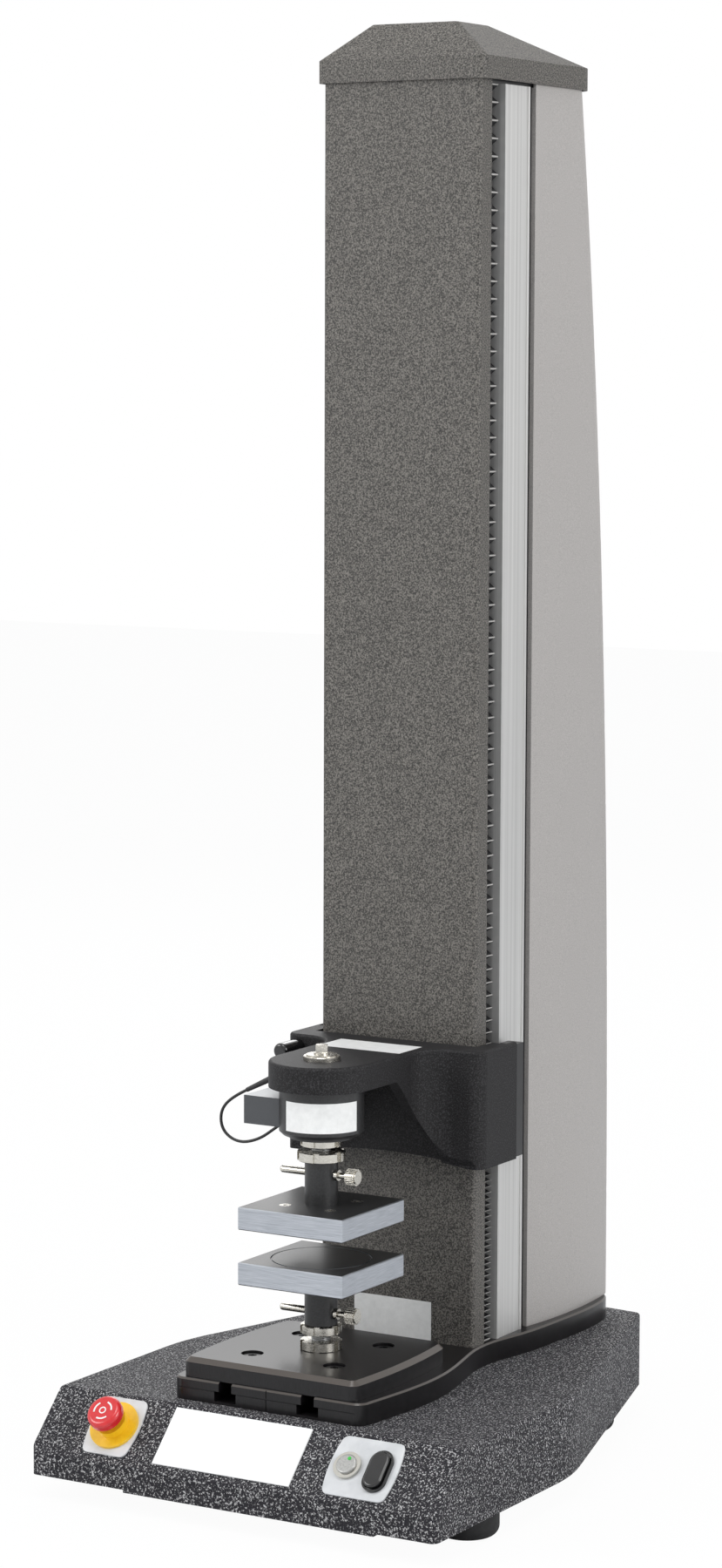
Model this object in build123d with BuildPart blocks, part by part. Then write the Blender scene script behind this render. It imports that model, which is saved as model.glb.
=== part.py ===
from build123d import *
import os
from math import atan2, cos, degrees, hypot, pi, radians, sin, tan

# Motorized test stand: a granite-look base with a sloped control panel, a twin-slot
# mounting plate, a column with a ball screw drive, and a crosshead that carries a load
# cell and a pair of square platens. X is to the right, Y to the back, Z up, and the
# stand rests on its four feet at Z = 0 with the middle of its footprint, stop button
# included, at X = Y = 0.

os.makedirs("parts", exist_ok=True)

# Fits and clearances shared by the pieces.
running_fit = 0.05
free_gap = 0.3
sliding_gap = 2.0
seat_depth = 10.0

# Base casting.
base_width = 390.0
base_depth = 540.0
base_height = 66.3
base_rear_width = 208.0
base_rear_bow = 6.0
base_taper_start = 231.0
base_taper_radius = 200.0
base_wall = 8.0
base_top_wall = 10.0
base_corner = 6.0
base_edge_round = 3.0
stop_overhang = 3.96
lip_height = 20.1
lip_drop = 2.4
lip_drop_left = -102.0
lip_drop_right = 138.0
panel_rise = base_height - lip_height
panel_run = 45.7
rear_wall_inside = 12.0

# Feet and floor pan.
foot_height = 20.0
foot_radius = 27.0
foot_round = 9.0
foot_stud_radius = 4.0
foot_stud_length = 24.0
foot_boss_radius = 13.0
front_foot_x = 168.0
front_foot_back = 98.0
rear_foot_x = 98.0
rear_foot_back = 436.0
pan_thickness = 2.0

# Load axis, and the plates that it stands on.
load_setback = 146.0
tee_plate_thickness = 18.7
tee_plate_front = 87.0
tee_plate_rear_gap = 8.0
tee_plate_chamfer = 1.5
tee_slot_spacing = 80.0
tee_front_half = 91.5
tee_waist_half = 79.5
tee_rear_half = 91.5
tee_front_corner = 11.0
tee_neck_width = 12.5
tee_neck_depth = 8.2
tee_head_width = 21.0
tee_head_depth = 8.2
tee_slot_length = 181.0
tee_line_width = 0.8
grip_plate_width = 174.0
grip_front_half = 83.5
grip_rear_half = 79.0
grip_bulge_shift = 8.0
grip_plate_depth = 159.0
grip_plate_front = 84.0
grip_plate_thickness = 16.7
grip_plate_chamfer = 4.0
grip_plate_corner = 8.0
grip_rear_corner = 14.0
grip_hole_depth_spacing = 80.0
grip_screw_radius = 5.0
grip_bore_radius = 9.5
grip_bore_depth = 11.0
grip_head_radius = 8.0
grip_head_height = 9.0
socket_key_radius = 4.0

# Couplings between the plates, the load cell and the platens.
stud_radius = 8.0
stud_flat_depth = 1.5
ring_radius = 17.5
ring_height = 7.9
ring_gap = 5.9
check_ring_height = 7.2
large_ring_radius = 20.4
ring_notch_width = 5.0
ring_notch_depth = 2.8
ring_notch_count = 6
adapter_radius = 14.0
lower_adapter_height = 36.9
upper_adapter_height = 37.0
pin_radius = 3.15
pin_left = 40.0
pin_collar_radius = 4.6
pin_collar_length = 3.0
pin_neck_radius = 2.6
pin_neck_length = 9.0
pin_knob_radius = 7.0
pin_knob_length = 8.5
pin_knob_grooves = 24
pin_knob_groove_radius = 0.5
lower_pin_drop = 26.7
upper_pin_rise = 25.3
platen_size = 101.6
platen_thickness = 19.1
platen_chamfer = 0.8
platen_groove_radii = (20.0, 31.0, 42.0)
platen_groove_width = 1.4
platen_groove_depth = 1.0
platen_gap = 27.8
platen_screw_circle = 31.0
platen_screw_radius = 2.5
platen_screw_head_radius = 5.0
spigot_radius = 5.0
spigot_length = 8.0

# Load cell, its connector box, and its lead.
cell_radius = 35.6
cell_height = 40.0
cell_chamfer = 3.0
cell_boss_radius = 27.0
cell_boss_height = 3.0
upper_ring_drop = 2.0
sensor_box_reach = 64.5
sensor_box_width = 40.0
sensor_box_height = 24.1
sensor_box_rise = 5.4
lead_diameter = 2.6
lead_boss_radius = 3.2
boot_root_radius = 3.8
boot_tip_radius = 1.9

# Crosshead.
nose_radius = 44.5
nose_thickness = 22.4
nose_top = 367.4
crosshead_height = 101.4
crosshead_wall_front = 98.0
crosshead_inner_fillet = 28.0
crosshead_corner = 12.0
crosshead_round = 2.5
crosshead_arch = 6.0
cheek_thickness = 17.0
cheek_skin = 4.0
wall_gap = 4.0
gusset_start = 48.0
gusset_mid = (80.0, 37.0)
gusset_end = (100.0, 76.0)
pocket_half_width = 34.5
pocket_rear_half_width = 66.0
pocket_wall = 13.0
washer_radius = 15.5
washer_height = 3.6
washer_step_radius = 13.0
washer_step_height = 1.0
bolt_radius = 5.0
bolt_flange_radius = 6.5
bolt_flange_height = 1.6
bolt_head_across = 10.0
bolt_head_height = 6.5
socket_cap_x = 84.0
socket_cap_drop = 11.0
socket_cap_radius = 7.0
socket_cap_length = 30.0

# Column: cover, slots, extrusion, grooves and rear cover.
throat = 125.0
cover_half_width = 76.6
cover_depth = 19.0
cover_wall = 2.0
cover_corner = 4.0
cover_flange_half_width = 60.0
slot_width = 20.3
column_half_width = 78.1
extrusion_depth = 43.7
extrusion_web_depth = 26.0
post_width = 16.0
post_wall = 3.0
screw_channel_half_width = 22.0
screw_channel_wall = 5.0
side_bead = 3.5
side_recess = 0.6
groove_depth = 10.0
groove_rail_half_width = 74.0
groove_rail_width = 12.0
groove_slot_width = 4.0
groove_slot_depth = 6.0
column_top = 1186.0
top_plate_thickness = 8.0
rear_cover_wall = 2.5
rear_cover_setback = 2.0
rear_cover_lean = 65.0
rear_cover_lean_power = 2.4
rear_cover_bulge = 6.0
rear_cover_crown = 0.5
rear_cover_corner = 25.0
rear_cover_corner_inset = 2.0
rear_cover_sections = 5
cap_overhang = 3.7
cap_wall = 2.5
cap_skirt_height = 18.9
cap_skirt_overlap = 5.3
cap_rise = 30.4
cap_top_half_width = 41.5
cap_top_front = 22.7
cap_top_depth = 56.6
cap_front_corner = 6.0
cap_rear_corner = 24.0
cap_top_corner = 4.0
cap_rear_gap = 1.6
cap_boss_radius = 6.0

# Drive inside the column.
arm_gap = 4.0
arm_thickness = 14.0
arm_height = 80.0
arm_bottom = 276.0
end_bar_thickness = 16.0
end_bar_height = 98.0
rail_x = 42.0
rail_width = 15.0
rail_height = 9.0
rail_groove_width = 3.0
guide_block_width = 34.0
guide_block_length = 36.0
guide_block_depth = 17.5
screw_axis_back = 19.0
screw_radius = 8.0
screw_lower_journal = 7.5
screw_upper_journal = 6.0
screw_bottom = 48.0
nut_radius = 14.0
nut_length = 40.0
nut_flange_radius = 18.0
nut_flange_height = 8.0
nut_bracket_half_width = 20.0
nut_bracket_depth = 14.0
nut_bracket_height = 26.0
bearing_block_half_width = 21.0
bearing_block_depth = 30.0
bearing_block_height = 30.0
bearing_radius = 14.0
bearing_height = 12.0
bearing_step = 1.5
bellows_half_width = 5.0
bellows_x = 68.0
bellows_depth = 14.0
motor_back = 89.0
motor_size = 80.0
motor_length = 112.0
motor_flange = 8.0
motor_shaft_radius = 7.0
screw_pulley_radius = 26.0
motor_pulley_radius = 13.0
pulley_width = 16.0
pulley_flange_height = 1.5
pulley_flange_reach = 2.5
pulley_bottom = 52.0
belt_thickness = 1.6
belt_side_gap = 1.2
drive_opening_half_width = 34.0
drive_opening_front = 24.0
drive_opening_back = 185.0

# Electronics and rear panel.
board_width = 110.0
board_height = 150.0
board_thickness = 1.6
board_bottom = 400.0
standoff_height = 8.0
standoff_radius = 3.0
supply_width = 98.0
supply_height = 180.0
supply_depth = 40.0
supply_bottom = 620.0
rear_window_width = 150.0
rear_window_height = 38.0
rear_window_middle = 30.0
rear_panel_margin = 8.0
rear_panel_thickness = 2.0
inlet_x = -48.0
switch_x = -8.0
port_x = 42.0

# Controls on the sloped panel, each at its distance up the slope.
plate_thickness = 1.2
estop_x = -125.5
estop_up = 34.0
estop_plate_width = 41.0
estop_plate_height = 54.0
estop_ring_radius = 21.6
estop_ring_height = 3.0
estop_neck_radius = 13.5
estop_neck_height = 7.0
estop_head_radius = 15.2
estop_head_height = 10.0
estop_head_lift = 16.5
estop_stem_radius = 4.0
estop_travel = 4.0
estop_tube_radius = 11.0
control_tube_length = 20.0
button_plate_x = 115.5
button_plate_up = 33.0
button_plate_width = 56.0
button_plate_height = 54.0
push_x = 101.0
push_up = 33.0
push_bezel_radius = 12.0
push_cap_radius = 8.8
push_proud = 2.0
push_depth = 14.0
rocker_x = 130.0
rocker_up = 32.0
rocker_width = 21.0
rocker_length = 37.6
rocker_rim = 1.6
rocker_play = 0.8
rocker_proud = 3.6
rocker_lift = 2.0
rocker_pivot_radius = 1.5
rocker_neck_width = 8.0
rocker_neck_depth = 6.0
sign_x = -10.0
sign_up = 33.6
sign_width = 132.0
sign_height = 54.0
plate_corner = 6.0
plate_bulge = 3.5

# Heights and places that follow from these sizes.
y_front = -(base_depth - stop_overhang) / 2
y_back = y_front + base_depth
y_load = y_front + load_setback
z_base = foot_height
z_base_top = z_base + base_height
z_tee = z_base_top + tee_plate_thickness
z_grip = z_tee + grip_plate_thickness
z_check_ring = z_grip + ring_height + ring_gap
z_lower_adapter = z_check_ring + check_ring_height
z_lower_platen = z_lower_adapter + lower_adapter_height
z_lower_pin = z_lower_platen - lower_pin_drop
z_upper_platen = z_lower_platen + platen_thickness + platen_gap
z_upper_adapter = z_upper_platen + platen_thickness
z_upper_pin = z_upper_adapter + upper_pin_rise
z_large_ring = z_upper_adapter + upper_adapter_height
z_nose = nose_top - nose_thickness
z_cell = z_nose - cell_height
z_small_ring = z_cell - cell_boss_height - upper_ring_drop - check_ring_height + 2.0
z_crosshead = nose_top - crosshead_height
y_cover = y_load + throat
y_cover_back = y_cover + cover_depth
y_post = y_cover_back + slot_width
y_post_back = y_post + extrusion_depth
y_web = y_post_back - extrusion_web_depth
y_groove_back = y_post_back + groove_depth
y_arm = y_cover_back + arm_gap
y_arm_back = y_arm + arm_thickness
y_screw = y_arm_back + screw_axis_back
y_motor = y_screw + motor_back
z_top_plate = column_top - top_plate_thickness
z_cap = column_top - cap_skirt_overlap
z_bearing_top = z_top_plate - bearing_block_height
cheek_inside = column_half_width + sliding_gap
cheek_outside = cheek_inside + cheek_thickness
upright = (Align.CENTER, Align.CENTER, Align.MIN)
hanging = (Align.CENTER, Align.CENTER, Align.MAX)

# The sloped panel: its local X runs across, its local Y up the slope, from the lip.
panel_angle = degrees(atan2(panel_rise, panel_run))
panel_length = hypot(panel_rise, panel_run)
panel_normal = (0, -sin(radians(panel_angle)), cos(radians(panel_angle)))
panel = Plane(origin=(0, y_front, z_base + lip_height), x_dir=(1, 0, 0), z_dir=panel_normal)


def keep(name, builder):
    """Label a finished piece and write it under its own name."""
    builder.part.label = name
    export_step(builder.part, f"parts/{name}.step")


def slanted_corners(depth_ratio):
    """Half-width of the cavity at a depth, following the tapered sides."""
    start = base_width / 2
    end = base_rear_width / 2
    return start + (end - start) * depth_ratio


# Base casting: an upside-down tray with thick walls, open below.
y_rear_corner = y_back - base_rear_bow
y_taper = y_front + base_taper_start
y_cavity_back = y_back - rear_wall_inside
taper_span = y_rear_corner - y_front - base_taper_start
cavity_rear_ratio = (y_cavity_back - y_front - base_taper_start) / taper_span
cavity_rear_half = slanted_corners(cavity_rear_ratio) - base_wall
cavity_half = base_width / 2 - base_wall
y_panel_top = y_front + panel_run
z_cavity_top = z_base_top - base_top_wall
slope = tan(radians(panel_angle))
z_panel_inside = z_base + lip_height - base_wall / cos(radians(panel_angle)) + base_wall * slope
y_cavity_split = y_panel_top + base_wall + base_top_wall
foot_places = [(sign * x, y_front + back) for x, back in
               ((front_foot_x, front_foot_back), (rear_foot_x, rear_foot_back)) for sign in (-1, 1)]

with BuildPart() as base_casting:
    with BuildSketch(Plane.XY.offset(z_base)) as base_plan:
        with BuildLine():
            Polyline((-base_rear_width / 2, y_rear_corner), (-base_width / 2, y_taper),
                     (-base_width / 2, y_front), (base_width / 2, y_front), (base_width / 2, y_taper),
                     (base_rear_width / 2, y_rear_corner))
            ThreePointArc((base_rear_width / 2, y_rear_corner), (0, y_back),
                          (-base_rear_width / 2, y_rear_corner))
        make_face()
        fillet(base_plan.vertices().filter_by(lambda v: abs(v.Y - y_taper) < 1), radius=base_taper_radius)
    extrude(amount=base_height)
    fillet(base_casting.edges().filter_by(Axis.Z).filter_by(
        lambda e: e.center().Y < y_front + 1 or e.center().Y > y_rear_corner - 1), radius=base_corner)
    with BuildSketch(Plane.YZ):
        with BuildLine():
            Polyline((y_front, z_base + lip_height), (y_panel_top, z_base_top),
                     (y_panel_top, z_base_top + 1), (y_front - 1, z_base_top + 1),
                     (y_front - 1, z_base + lip_height), close=True)
        make_face()
    extrude(amount=base_width, both=True, mode=Mode.SUBTRACT)
    fillet(base_casting.faces().sort_by(Axis.Z)[-1].edges(), radius=base_edge_round)
    # The cavity under the top, then its front part, which runs under the panel.
    with BuildSketch(Plane.XY.offset(z_base)):
        with BuildLine():
            Polyline((-cavity_half, y_cavity_split), (cavity_half, y_cavity_split),
                     (cavity_half, y_front + base_taper_start), (cavity_rear_half, y_cavity_back),
                     (-cavity_rear_half, y_cavity_back), (-cavity_half, y_front + base_taper_start),
                     close=True)
        make_face()
    extrude(amount=z_cavity_top - z_base, mode=Mode.SUBTRACT)
    y_slope_end = y_front + base_wall + (z_cavity_top - z_panel_inside) / slope
    with BuildSketch(Plane.YZ):
        with BuildLine():
            Polyline((y_front + base_wall, z_base), (y_cavity_split, z_base),
                     (y_cavity_split, z_cavity_top), (y_slope_end, z_cavity_top),
                     (y_front + base_wall, z_panel_inside), close=True)
        make_face()
    extrude(amount=cavity_half, both=True, mode=Mode.SUBTRACT)
    # The front wall reaches a little lower between the feet.
    with Locations((lip_drop_left, y_front, z_base)):
        Box(lip_drop_right - lip_drop_left, base_wall, lip_drop, align=(Align.MIN, Align.MIN, Align.MAX))
    # Foot bosses, the opening for the belt drive and the window of the rear panel.
    with BuildSketch(Plane.XY.offset(z_base + pan_thickness)):
        with Locations(*foot_places):
            Circle(foot_boss_radius)
    extrude(until=Until.NEXT)
    with BuildSketch(Plane.XY.offset(z_base)):
        with Locations(*foot_places):
            Circle(foot_stud_radius + running_fit)
    extrude(amount=foot_stud_length + pan_thickness, mode=Mode.SUBTRACT)
    with Locations((0, (drive_opening_front + drive_opening_back) / 2, z_cavity_top)):
        Box(2 * drive_opening_half_width, drive_opening_back - drive_opening_front,
            2 * base_top_wall, mode=Mode.SUBTRACT)
    with Locations((0, y_back, z_base + rear_window_middle)):
        Box(rear_window_width, 4 * rear_wall_inside, rear_window_height, mode=Mode.SUBTRACT)
    # Holes for the controls.
    with BuildSketch(panel):
        with Locations((estop_x, estop_up)):
            Circle(estop_tube_radius + running_fit)
        with Locations((push_x, push_up)):
            Circle(estop_tube_radius + running_fit)
        with Locations((rocker_x, rocker_up)):
            Rectangle(rocker_width - 4, rocker_length - 8)
    extrude(amount=-2 * base_wall, mode=Mode.SUBTRACT)
keep("base_casting", base_casting)

# Floor pan: a sheet that closes the casting from below, held by the feet.
with BuildPart() as floor_pan:
    with BuildSketch(Plane.XY.offset(z_base)):
        with BuildLine():
            inner = cavity_half - free_gap
            inner_rear = cavity_rear_half - free_gap
            Polyline((-inner, y_front + base_wall + free_gap), (inner, y_front + base_wall + free_gap),
                     (inner, y_front + base_taper_start), (inner_rear, y_cavity_back - free_gap),
                     (-inner_rear, y_cavity_back - free_gap), (-inner, y_front + base_taper_start),
                     close=True)
        make_face()
        with Locations(*foot_places):
            Circle(foot_stud_radius + free_gap, mode=Mode.SUBTRACT)
    extrude(amount=pan_thickness)
keep("floor_pan", floor_pan)

# Feet: rubber pucks, each moulded round a steel stud.
with BuildPart() as feet:
    with Locations(*[(x, y, 0) for x, y in foot_places]):
        Cylinder(foot_radius, foot_height, align=upright)
    fillet(feet.edges().group_by(Axis.Z)[0], radius=foot_round)
    with Locations(*[(x, y, foot_height) for x, y in foot_places]):
        Cylinder(foot_stud_radius, foot_stud_length, align=upright)
keep("feet", feet)

# Mounting plate with two T-slots. It spreads under the column in a rounded D.
y_tee_front = y_load - tee_plate_front
y_tee_back = y_back - tee_plate_rear_gap
tee_rear_run = y_tee_back - y_post_back
y_tee_wide = y_post_back + 0.337 * tee_rear_run
y_tee_turn = y_post_back + 0.753 * tee_rear_run
y_tee_bend = y_post_back + 0.966 * tee_rear_run
rear_cover_depth = y_tee_back - rear_cover_setback - y_groove_back
with BuildPart() as tee_slot_plate:
    with BuildSketch(Plane.XY.offset(z_base_top)):
        with BuildLine() as side:
            Line((0, y_tee_front), (tee_front_half, y_tee_front))
            Spline((tee_front_half, y_tee_front), (tee_front_half + 6, y_load - 36),
                   (tee_front_half + 7, y_load + 36), (tee_waist_half + 6, y_cover - 26),
                   (tee_waist_half, y_cover + 4), (tee_waist_half + 1, y_post),
                   (tee_waist_half + 6, y_post + 26), (tee_rear_half, y_tee_wide),
                   (tee_rear_half - 2.5, y_tee_turn), tangents=((0.1, 1), (-0.14, 1)))
            TangentArc((tee_rear_half - 2.5, y_tee_turn), (tee_rear_half - 29.5, y_tee_bend),
                       tangent=(-0.14, 1))
            ThreePointArc((tee_rear_half - 29.5, y_tee_bend), (tee_rear_half / 3, y_tee_back - 1.5),
                          (0, y_tee_back))
            mirror(about=Plane.YZ)
        make_face()
    extrude(amount=tee_plate_thickness)
    fillet(tee_slot_plate.edges().filter_by(Axis.Z).filter_by(
        lambda e: e.center().Y < y_tee_front + 1 and abs(e.center().X) > tee_front_half / 2),
        radius=tee_front_corner)
    chamfer(tee_slot_plate.faces().sort_by(Axis.Z)[-1].edges(), length=tee_plate_chamfer)
    for side_sign in (-1, 1):
        with Locations((side_sign * tee_slot_spacing / 2, y_tee_front, z_tee)):
            Box(tee_neck_width, 2 * tee_slot_length, 2 * tee_neck_depth, mode=Mode.SUBTRACT)
        with Locations((side_sign * tee_slot_spacing / 2, y_tee_front,
                        z_tee - tee_neck_depth - tee_head_depth / 2)):
            Box(tee_head_width, 2 * tee_slot_length, tee_head_depth, mode=Mode.SUBTRACT)
    with Locations((0, y_tee_front, z_tee - tee_neck_depth)):
        Box(2 * base_width, 2 * tee_line_width, tee_line_width, mode=Mode.SUBTRACT)
    with Locations((0, y_tee_front, z_tee)):
        Box(tee_line_width, 2 * tee_line_width, 3 * tee_plate_thickness, mode=Mode.SUBTRACT)
    with Locations((0, y_screw, z_base_top)):
        Cylinder(screw_lower_journal + 4, 3 * tee_plate_thickness, mode=Mode.SUBTRACT)
    with Locations((0, y_motor, z_base_top)):
        Cylinder(motor_pulley_radius + pulley_flange_reach + 2, 3 * tee_plate_thickness,
                 mode=Mode.SUBTRACT)
keep("tee_slot_plate", tee_slot_plate)

# Grip plate, bolted into the T-slots through four counterbored holes.
y_grip_front = y_load - grip_plate_front
y_grip = y_grip_front + grip_plate_depth / 2
y_grip_back = y_grip_front + grip_plate_depth
grip_holes = [(sx * tee_slot_spacing / 2, y_grip + sy * grip_hole_depth_spacing / 2)
              for sx in (-1, 1) for sy in (-1, 1)]
with BuildPart() as grip_plate:
    with BuildSketch(Plane.XY.offset(z_tee)) as grip_plan:
        with BuildLine():
            Line((-grip_front_half, y_grip_front), (grip_front_half, y_grip_front))
            ThreePointArc((grip_front_half, y_grip_front), (grip_plate_width / 2, y_grip - grip_bulge_shift),
                          (grip_rear_half, y_grip_back))
            Line((grip_rear_half, y_grip_back), (-grip_rear_half, y_grip_back))
            ThreePointArc((-grip_rear_half, y_grip_back), (-grip_plate_width / 2, y_grip - grip_bulge_shift),
                          (-grip_front_half, y_grip_front))
        make_face()
        fillet(grip_plan.vertices().group_by(Axis.Y)[0], radius=grip_plate_corner)
        fillet(grip_plan.vertices().group_by(Axis.Y)[-1], radius=grip_rear_corner)
    extrude(amount=grip_plate_thickness)
    chamfer(grip_plate.faces().sort_by(Axis.Z)[-1].edges(), length=grip_plate_chamfer)
    with BuildSketch(Plane.XY.offset(z_grip)):
        with Locations(*grip_holes):
            Circle(grip_bore_radius)
    extrude(amount=-grip_bore_depth, mode=Mode.SUBTRACT)
    with BuildSketch(Plane.XY.offset(z_grip)):
        with Locations(*grip_holes):
            Circle(grip_screw_radius + free_gap)
        with Locations((0, y_load)):
            Circle(stud_radius + running_fit)
    extrude(amount=-grip_plate_thickness, mode=Mode.SUBTRACT)
keep("grip_plate", grip_plate)

# Socket head screws of the grip plate, and the T-nuts that they pull up.
z_grip_head = z_grip - grip_bore_depth
z_tee_neck = z_tee - tee_neck_depth
with BuildPart() as grip_plate_fasteners:
    with Locations(*[(x, y, z_grip_head) for x, y in grip_holes]):
        Cylinder(grip_head_radius, grip_head_height, align=upright)
        Cylinder(grip_screw_radius, z_grip_head - z_tee_neck + tee_head_depth / 2, align=hanging)
    with BuildSketch(Plane.XY.offset(z_grip_head + grip_head_height)):
        with Locations(*grip_holes):
            RegularPolygon(socket_key_radius, 6)
    extrude(amount=-grip_head_height / 2, mode=Mode.SUBTRACT)
    with BuildSketch(Plane.XY.offset(z_tee_neck)):
        with Locations(*grip_holes):
            Rectangle(tee_head_width - 1.0, tee_head_width - 1.0)
            Circle(grip_screw_radius + running_fit, mode=Mode.SUBTRACT)
    extrude(amount=-tee_head_depth + 1.0)
keep("grip_plate_fasteners", grip_plate_fasteners)


def threaded_stud(bottom, top, flat_bottom, flat_top, pin_height):
    """Stud on the load axis with two spanner flats and a cross hole for its pin."""
    with BuildPart() as stud:
        with BuildSketch(Plane.XY.offset(bottom)):
            with Locations((0, y_load)):
                Circle(stud_radius)
        extrude(amount=top - bottom)
        for side_sign in (-1, 1):
            with Locations((0, y_load + side_sign * stud_radius, (flat_bottom + flat_top) / 2)):
                Box(4 * stud_radius, 2 * stud_flat_depth, flat_top - flat_bottom, mode=Mode.SUBTRACT)
        with BuildSketch(Plane.YZ):
            with Locations((y_load, pin_height)):
                Circle(pin_radius + running_fit)
        extrude(amount=2 * stud_radius, both=True, mode=Mode.SUBTRACT)
    return stud


def notched_ring(bottom, height, radius):
    """Round lock nut on the stud, with spanner notches round its rim."""
    with BuildPart() as ring:
        with BuildSketch(Plane.XY.offset(bottom)):
            with Locations((0, y_load)):
                Circle(radius)
                Circle(stud_radius + running_fit, mode=Mode.SUBTRACT)
                with PolarLocations(radius, ring_notch_count, start_angle=-72):
                    Rectangle(2 * ring_notch_depth, ring_notch_width, mode=Mode.SUBTRACT)
        extrude(amount=height)
        rims = ring.edges().filter_by(GeomType.CIRCLE).filter_by(lambda e: e.radius > radius - 0.01)
        chamfer(rims, length=0.5)
    return ring


def pinned_adapter(bottom, height, bore_from_top, pin_height):
    """Cylinder between a platen and its stud: a bore for the stud, a spigot for the platen."""
    with BuildPart() as adapter:
        with BuildSketch(Plane.XY.offset(bottom)):
            with Locations((0, y_load)):
                Circle(adapter_radius)
        extrude(amount=height)
        platen_side = bottom if bore_from_top else bottom + height
        stud_side = bottom + height if bore_from_top else bottom
        inward = -1 if bore_from_top else 1
        chamfer(adapter.faces().sort_by(Axis.Z)[0 if inward > 0 else -1].edges(), length=0.6)
        with BuildSketch(Plane.XY.offset(stud_side)):
            with Locations((0, y_load)):
                Circle(stud_radius + running_fit)
        extrude(amount=inward * (height - seat_depth), mode=Mode.SUBTRACT)
        with BuildSketch(Plane.XY.offset(platen_side)):
            with Locations((0, y_load)):
                Circle(spigot_radius)
        extrude(amount=inward * spigot_length)
        with BuildSketch(Plane.YZ):
            with Locations((y_load, pin_height)):
                Circle(pin_radius + running_fit)
        extrude(amount=2 * adapter_radius, both=True, mode=Mode.SUBTRACT)
    return adapter


def release_pin(height):
    """Quick-release pin across the adapter: a steel rod with a collar and a knurled knob."""
    collar = adapter_radius + free_gap
    neck = collar + pin_collar_length
    knob = neck + pin_neck_length
    with BuildPart() as pin:
        with BuildSketch(Plane.YZ.offset(-pin_left)):
            with Locations((y_load, height)):
                Circle(pin_radius)
        extrude(amount=pin_left + collar)
        fillet(pin.edges().group_by(Axis.X)[0], radius=pin_radius * 0.8)
        with BuildSketch(Plane.YZ.offset(collar)):
            with Locations((y_load, height)):
                Circle(pin_collar_radius)
        extrude(amount=pin_collar_length)
        with BuildSketch(Plane.YZ.offset(neck)):
            with Locations((y_load, height)):
                Circle(pin_neck_radius)
        extrude(amount=pin_neck_length)
        with BuildSketch(Plane.YZ.offset(knob)):
            with Locations((y_load, height)):
                Circle(pin_knob_radius)
                with PolarLocations(pin_knob_radius, pin_knob_grooves):
                    Circle(pin_knob_groove_radius, mode=Mode.SUBTRACT)
        extrude(amount=pin_knob_length)
        with BuildSketch(Plane.YZ.offset(knob + pin_knob_length)):
            with Locations((y_load, height)):
                Circle(pin_knob_radius - 1.2)
        extrude(amount=1.0)
    return pin


# Lower coupling, from the grip plate up to the lower platen.
lower_stud = threaded_stud(z_tee + 1.0, z_lower_platen - seat_depth - 1.0, z_grip + ring_height,
                           z_check_ring, z_lower_pin)
keep("lower_stud", lower_stud)
lower_lock_ring = notched_ring(z_grip, ring_height, ring_radius)
keep("lower_lock_ring", lower_lock_ring)
lower_check_ring = notched_ring(z_check_ring, check_ring_height, ring_radius)
keep("lower_check_ring", lower_check_ring)
lower_adapter = pinned_adapter(z_lower_adapter, lower_adapter_height, False, z_lower_pin)
keep("lower_adapter", lower_adapter)
lower_pin = release_pin(z_lower_pin)
keep("lower_pin", lower_pin)


# Lower platen, with three ring grooves turned into its face.
with BuildPart() as lower_platen:
    with Locations((0, y_load, z_lower_platen)):
        Box(platen_size, platen_size, platen_thickness, align=upright)
    chamfer(lower_platen.edges(), length=platen_chamfer)
    with BuildSketch(Plane.XY.offset(z_lower_platen + platen_thickness)):
        with Locations((0, y_load)):
            for groove_radius in platen_groove_radii:
                Circle(groove_radius + platen_groove_width / 2)
                Circle(groove_radius - platen_groove_width / 2, mode=Mode.SUBTRACT)
    extrude(amount=-platen_groove_depth, mode=Mode.SUBTRACT)
    with BuildSketch(Plane.XY.offset(z_lower_platen)):
        with Locations((0, y_load)):
            Circle(spigot_radius + running_fit)
    extrude(amount=spigot_length + 1.0, mode=Mode.SUBTRACT)
keep("lower_platen", lower_platen)

# Upper platen, with four countersunk screws round its adapter.
screw_shift = platen_screw_circle * sin(radians(45))
platen_screw_places = [(sx * screw_shift, y_load + sy * screw_shift) for sx in (-1, 1) for sy in (-1, 1)]
countersink_depth = platen_screw_head_radius - platen_screw_radius
with BuildPart() as upper_platen:
    with Locations((0, y_load, z_upper_platen)):
        Box(platen_size, platen_size, platen_thickness, align=upright)
    chamfer(upper_platen.edges(), length=platen_chamfer)
    with BuildSketch(Plane.XY.offset(z_upper_adapter)):
        with Locations((0, y_load)):
            Circle(spigot_radius + running_fit)
    extrude(amount=-spigot_length - 1.0, mode=Mode.SUBTRACT)
    with Locations(*[(x, y, z_upper_adapter) for x, y in platen_screw_places]):
        CounterSinkHole(platen_screw_radius + running_fit, platen_screw_head_radius + running_fit,
                        depth=platen_thickness - 4.0, counter_sink_angle=90)
keep("upper_platen", upper_platen)

with BuildPart() as platen_screws:
    with Locations(*[(x, y, z_upper_adapter) for x, y in platen_screw_places]):
        Cone(platen_screw_radius, platen_screw_head_radius, countersink_depth, align=hanging)
        Cylinder(platen_screw_radius, platen_thickness - 6.0, align=hanging)
    with BuildSketch(Plane.XY.offset(z_upper_adapter)):
        with Locations(*platen_screw_places):
            RegularPolygon(platen_screw_radius * 0.7, 6)
    extrude(amount=-countersink_depth, mode=Mode.SUBTRACT)
keep("platen_screws", platen_screws)

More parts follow.
